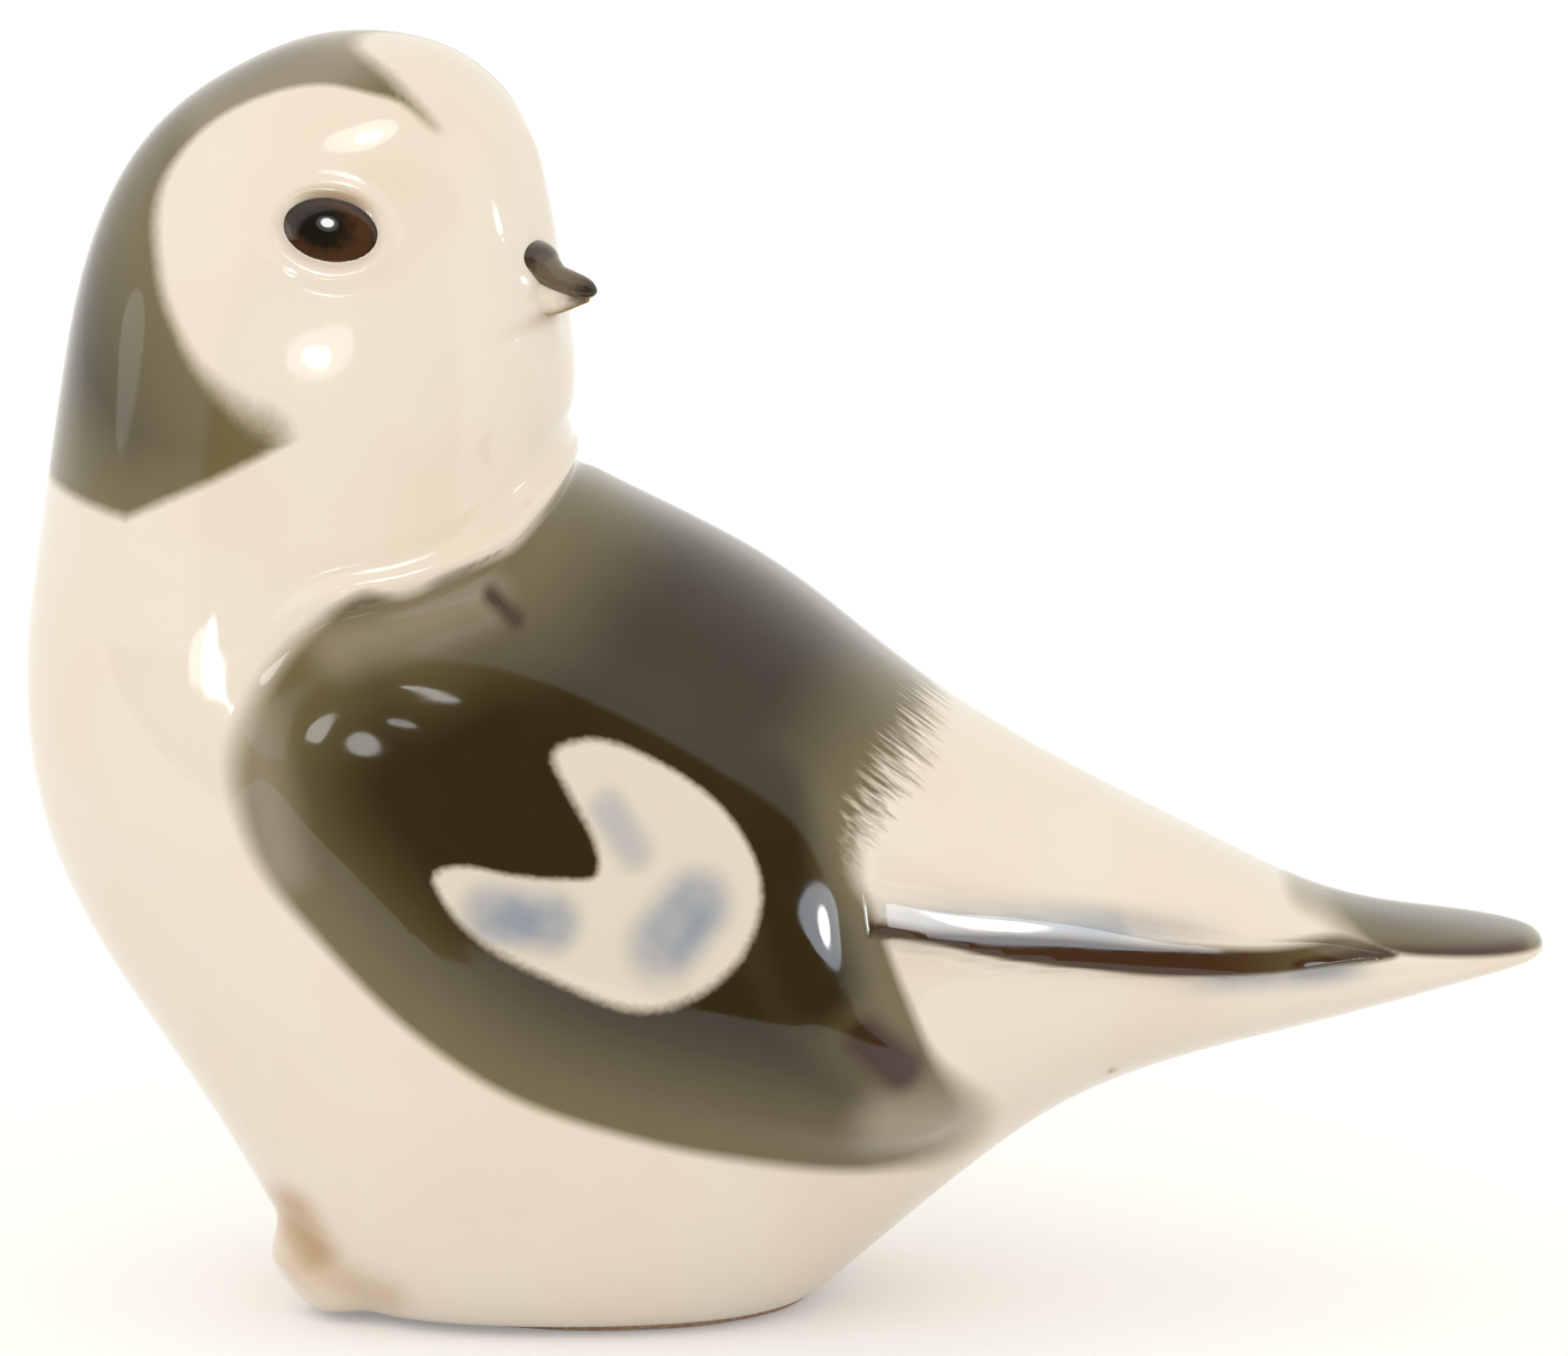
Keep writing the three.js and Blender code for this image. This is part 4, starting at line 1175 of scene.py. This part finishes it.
FLOOR_HALF = 3.0
FLOOR_COLOUR = (0.88, 0.88, 0.88, 1)
FLOOR_GLOW = 0.2  # seen, but not shed on the object
CAMERA_TARGET = Vector((-0.00013, 0.0, 0.0323))
CAMERA_DISTANCE = 0.6
CAMERA_ELEVATION = math.radians(10)
CAMERA_LENS = 266.9
CAMERA_SENSOR = 36.0
CAMERA_NEAREST = 0.01
ROOM = (1.0, 0.98, 0.92, 1)
CARD = (0.2, 0.165, 0.09, 1)
FRONT = (math.radians(10), math.radians(4))  # azimuth and elevation of the upright card
FRONT_DISTANCE = 0.5
FRONT_REACH = math.radians(54)
FRONT_SOFT = 0.76  # share of the upright card's radius where its edge starts to fade
CARD_SIDES = 60
TABLE_CARD_EDGE = -0.085  # y of the card that lies on the floor, at its edge next to the object
TABLE_CARD_LIFT = 0.0005
TABLE_CARD_HALF = 1.5
TABLE_CARD_FADE = 6.0  # further away than its corners, so that it doesn't fade


def direction(azimuth, elevation):
    """The way to a place in the room, as the camera's side sees it: right is positive."""
    level = math.cos(elevation)
    return Vector((math.sin(azimuth) * level, -math.cos(azimuth) * level, math.sin(elevation)))


def add_sheet(name, corners, material):
    """A flat sheet of the stage."""
    mesh = bpy.data.meshes.new(name)
    mesh.from_pydata(corners, [], [range(len(corners))])
    mesh.materials.append(material)
    sheet = add_object(name, mesh)
    return sheet


def make_floor():
    """A plain pale floor, matt, with a glow that is seen but not shed on the object."""
    floor = Shading("floor")
    matt = floor.node("ShaderNodeBsdfDiffuse", {"Color": FLOOR_COLOUR}).outputs[0]
    ray = floor.node("ShaderNodeLightPath", {}).outputs
    seen = floor.maths("MAXIMUM", ray["Is Camera Ray"], ray["Is Glossy Ray"])
    seen = floor.maths("MAXIMUM", seen, ray["Is Transmission Ray"])
    glow = floor.node("ShaderNodeEmission", {"Strength": floor.times(seen, FLOOR_GLOW)}).outputs[0]
    material = floor.only(floor.node("ShaderNodeAddShader", {0: matt, 1: glow}))
    far = FLOOR_HALF
    add_sheet("floor", [(-far, -far, 0), (far, -far, 0), (far, far, 0), (-far, far, 0)], material)


def make_world():
    """An even, slightly warm room."""
    world = bpy.data.worlds.new("room")
    bpy.context.scene.world = world
    world.use_nodes = True
    world.node_tree.nodes["Background"].inputs["Color"].default_value = ROOM


def card_material(radius):
    """Dark and dull, and fading out towards the given distance from the card's origin."""
    card = Shading("card")
    away = card.node("ShaderNodeVectorMath", {0: card.place()}, operation="LENGTH").outputs["Value"]
    faded = card.ramp(away, FRONT_SOFT * radius, radius)
    matt = card.node("ShaderNodeBsdfDiffuse", {"Color": CARD}).outputs[0]
    clear = card.node("ShaderNodeBsdfTransparent", {}).outputs[0]
    return card.only(card.node("ShaderNodeMixShader", {0: faded, 1: matt, 2: clear}))


def make_card(name, corners, material):
    """A dark card that only the glaze mirrors: it takes no light away and isn't in any view."""
    card = add_sheet(name, corners, material)
    card.visible_camera = False
    card.visible_diffuse = False
    card.visible_transmission = False
    card.visible_shadow = False
    return card


def make_cards():
    """A round card behind the camera and one on the floor in front of it."""
    way = direction(*FRONT)
    beside = way.cross(Vector((0, 0, 1))).normalized()
    above = beside.cross(way)
    radius = FRONT_DISTANCE * math.tan(FRONT_REACH)
    turns = [math.tau * side / CARD_SIDES for side in range(CARD_SIDES)]
    rim = [radius * (math.cos(turn) * beside + math.sin(turn) * above) for turn in turns]
    make_card("front_card", rim, card_material(radius)).location = CAMERA_TARGET + FRONT_DISTANCE * way
    far, edge, lift = TABLE_CARD_HALF, TABLE_CARD_EDGE, TABLE_CARD_LIFT
    corners = [(-far, -far, lift), (far, -far, lift), (far, edge, lift), (-far, edge, lift)]
    make_card("table_card", corners, card_material(TABLE_CARD_FADE))


# Round lamps that show only in the glaze of the listed pieces: azimuth from the camera (right is positive),
# elevation, width, height, roll in degrees and brightness. Cores lie in front of glows.
LAMP_DISTANCE = 0.5
CORE_DISTANCE = 0.48
FILL = (-10, 2, 0.9, 0.5, 0, 0.36)  # a wide pale lamp beside the camera, seen in no glaze
COOL = (0.78, 0.88, 1.0)
COOL_LAMPS = ("wing_glow", "ridge_glow")
LAMPS = {
    ("head_shell",): {
        "crown_glow": (8, 67, 0.18, 0.12, 20, 4),
        "crown_core": (8, 66, 0.07, 0.045, 20, 24),
        "cheek_glow": (-2, 22, 0.16, 0.06, 14, 3),
        "cheek_core": (-4, 21, 0.045, 0.02, 14, 20),
        "brow_core": (100, 20, 0.09, 0.036, 0, 8),
        "gape_core": (100, 15, 0.03, 0.02, 0, 9),
        "nape_glow": (-90, 12, 0.16, 0.11, 0, 1.1),
    },
    ("head_shell", "body_shell"): {
        "breast_glow": (-36, -2, 0.1, 0.08, 0, 5),
        "breast_core": (-33, -2, 0.06, 0.09, 0, 20),
    },
    ("eye_left", "eye_right"): {
        "eye_glow": (-8, 32, 0.18, 0.2, 0, 1.4),
        "eye_core": (-8, 33, 0.1, 0.11, 0, 22),
        "eye_side_glow": (-75, 5, 0.5, 0.4, 0, 1.2),
    },
    ("wing_left",): {
        "shoulder_glow": (-20, 9, 0.1, 0.08, 0, 6),
        "streak_glow": (0, 31, 0.08, 0.02, 0, 7),
        "bar_glow": (-8, 19, 0.06, 0.025, 0, 5),
        "wing_glow": (50, 9, 0.3, 0.15, 0, 6),
        "wing_core": (47, 8, 0.09, 0.06, 0, 22),
    },
    ("flight_feathers_left",): {
        "ridge_glow": (50, 6, 0.26, 0.2, 0, 6),
        "ridge_core": (52, 5, 0.05, 0.05, 0, 22),
    },
}


def make_lamp(name, azimuth, elevation, width, height, roll, brightness):
    lamp = bpy.data.lights.new(name, "AREA")
    lamp.shape = "ELLIPSE"
    lamp.size, lamp.size_y = width, height
    lamp.energy = brightness * math.pi * (math.pi / 4 * width * height)
    if name in COOL_LAMPS:
        lamp.color = COOL
    way = direction(math.radians(azimuth), math.radians(elevation))
    facing = way.to_track_quat("Z", "Y") @ Quaternion((0, 0, 1), math.radians(roll))
    holder = add_object(name, lamp)
    holder.location = CAMERA_TARGET + way * (CORE_DISTANCE if name.endswith("core") else LAMP_DISTANCE)
    holder.rotation_euler = facing.to_euler()
    return holder


def make_lamps():
    """The fill lamp, and the lamps that only the listed pieces mirror."""
    make_lamp("fill", *FILL).visible_glossy = False
    for nodes, lamps in LAMPS.items():
        mirrored_in = bpy.data.collections.new("_".join(nodes))
        for node in nodes:
            mirrored_in.objects.link(bpy.data.objects["glazed_" + node])
        for name, shape in lamps.items():
            holder = make_lamp(name, *shape)
            holder.visible_diffuse = False
            holder.light_linking.receiver_collection = mirrored_in


def make_camera():
    data = bpy.data.cameras.new("camera")
    data.lens = CAMERA_LENS
    data.sensor_width = CAMERA_SENSOR
    data.sensor_fit = "HORIZONTAL"
    data.clip_start = CAMERA_NEAREST
    camera = add_object("camera", data)
    back = direction(0.0, CAMERA_ELEVATION)
    camera.location = CAMERA_TARGET + back * CAMERA_DISTANCE
    camera.rotation_euler = back.to_track_quat("Z", "Y").to_euler()
    bpy.context.scene.camera = camera


bpy.context.scene.view_settings.view_transform = "Standard"
make_camera()
make_floor()
make_world()
make_cards()
seats = make_skin_pieces(painted_glaze())
eye_material = eye_glaze()
for eye_node, eye_seat in zip(("eye_right", "eye_left"), seats):
    make_eye(eye_node, eye_seat, eye_material)
bill_top = bill_glaze("bill_top", BILL_ROOT_SHADE, BILL_DARK, BILL_BLACK, BILL_TOP_TIP)
bill_under = bill_glaze("bill_under", BILL_PALE, BILL_PALE, BILL_DARK, BILL_UNDER_TIP)
make_mandible("upper_mandible", UPPER_BILL, bill_top)
make_mandible("lower_mandible", LOWER_BILL, bill_under)
make_foot_ring(bisque())
make_lamps()
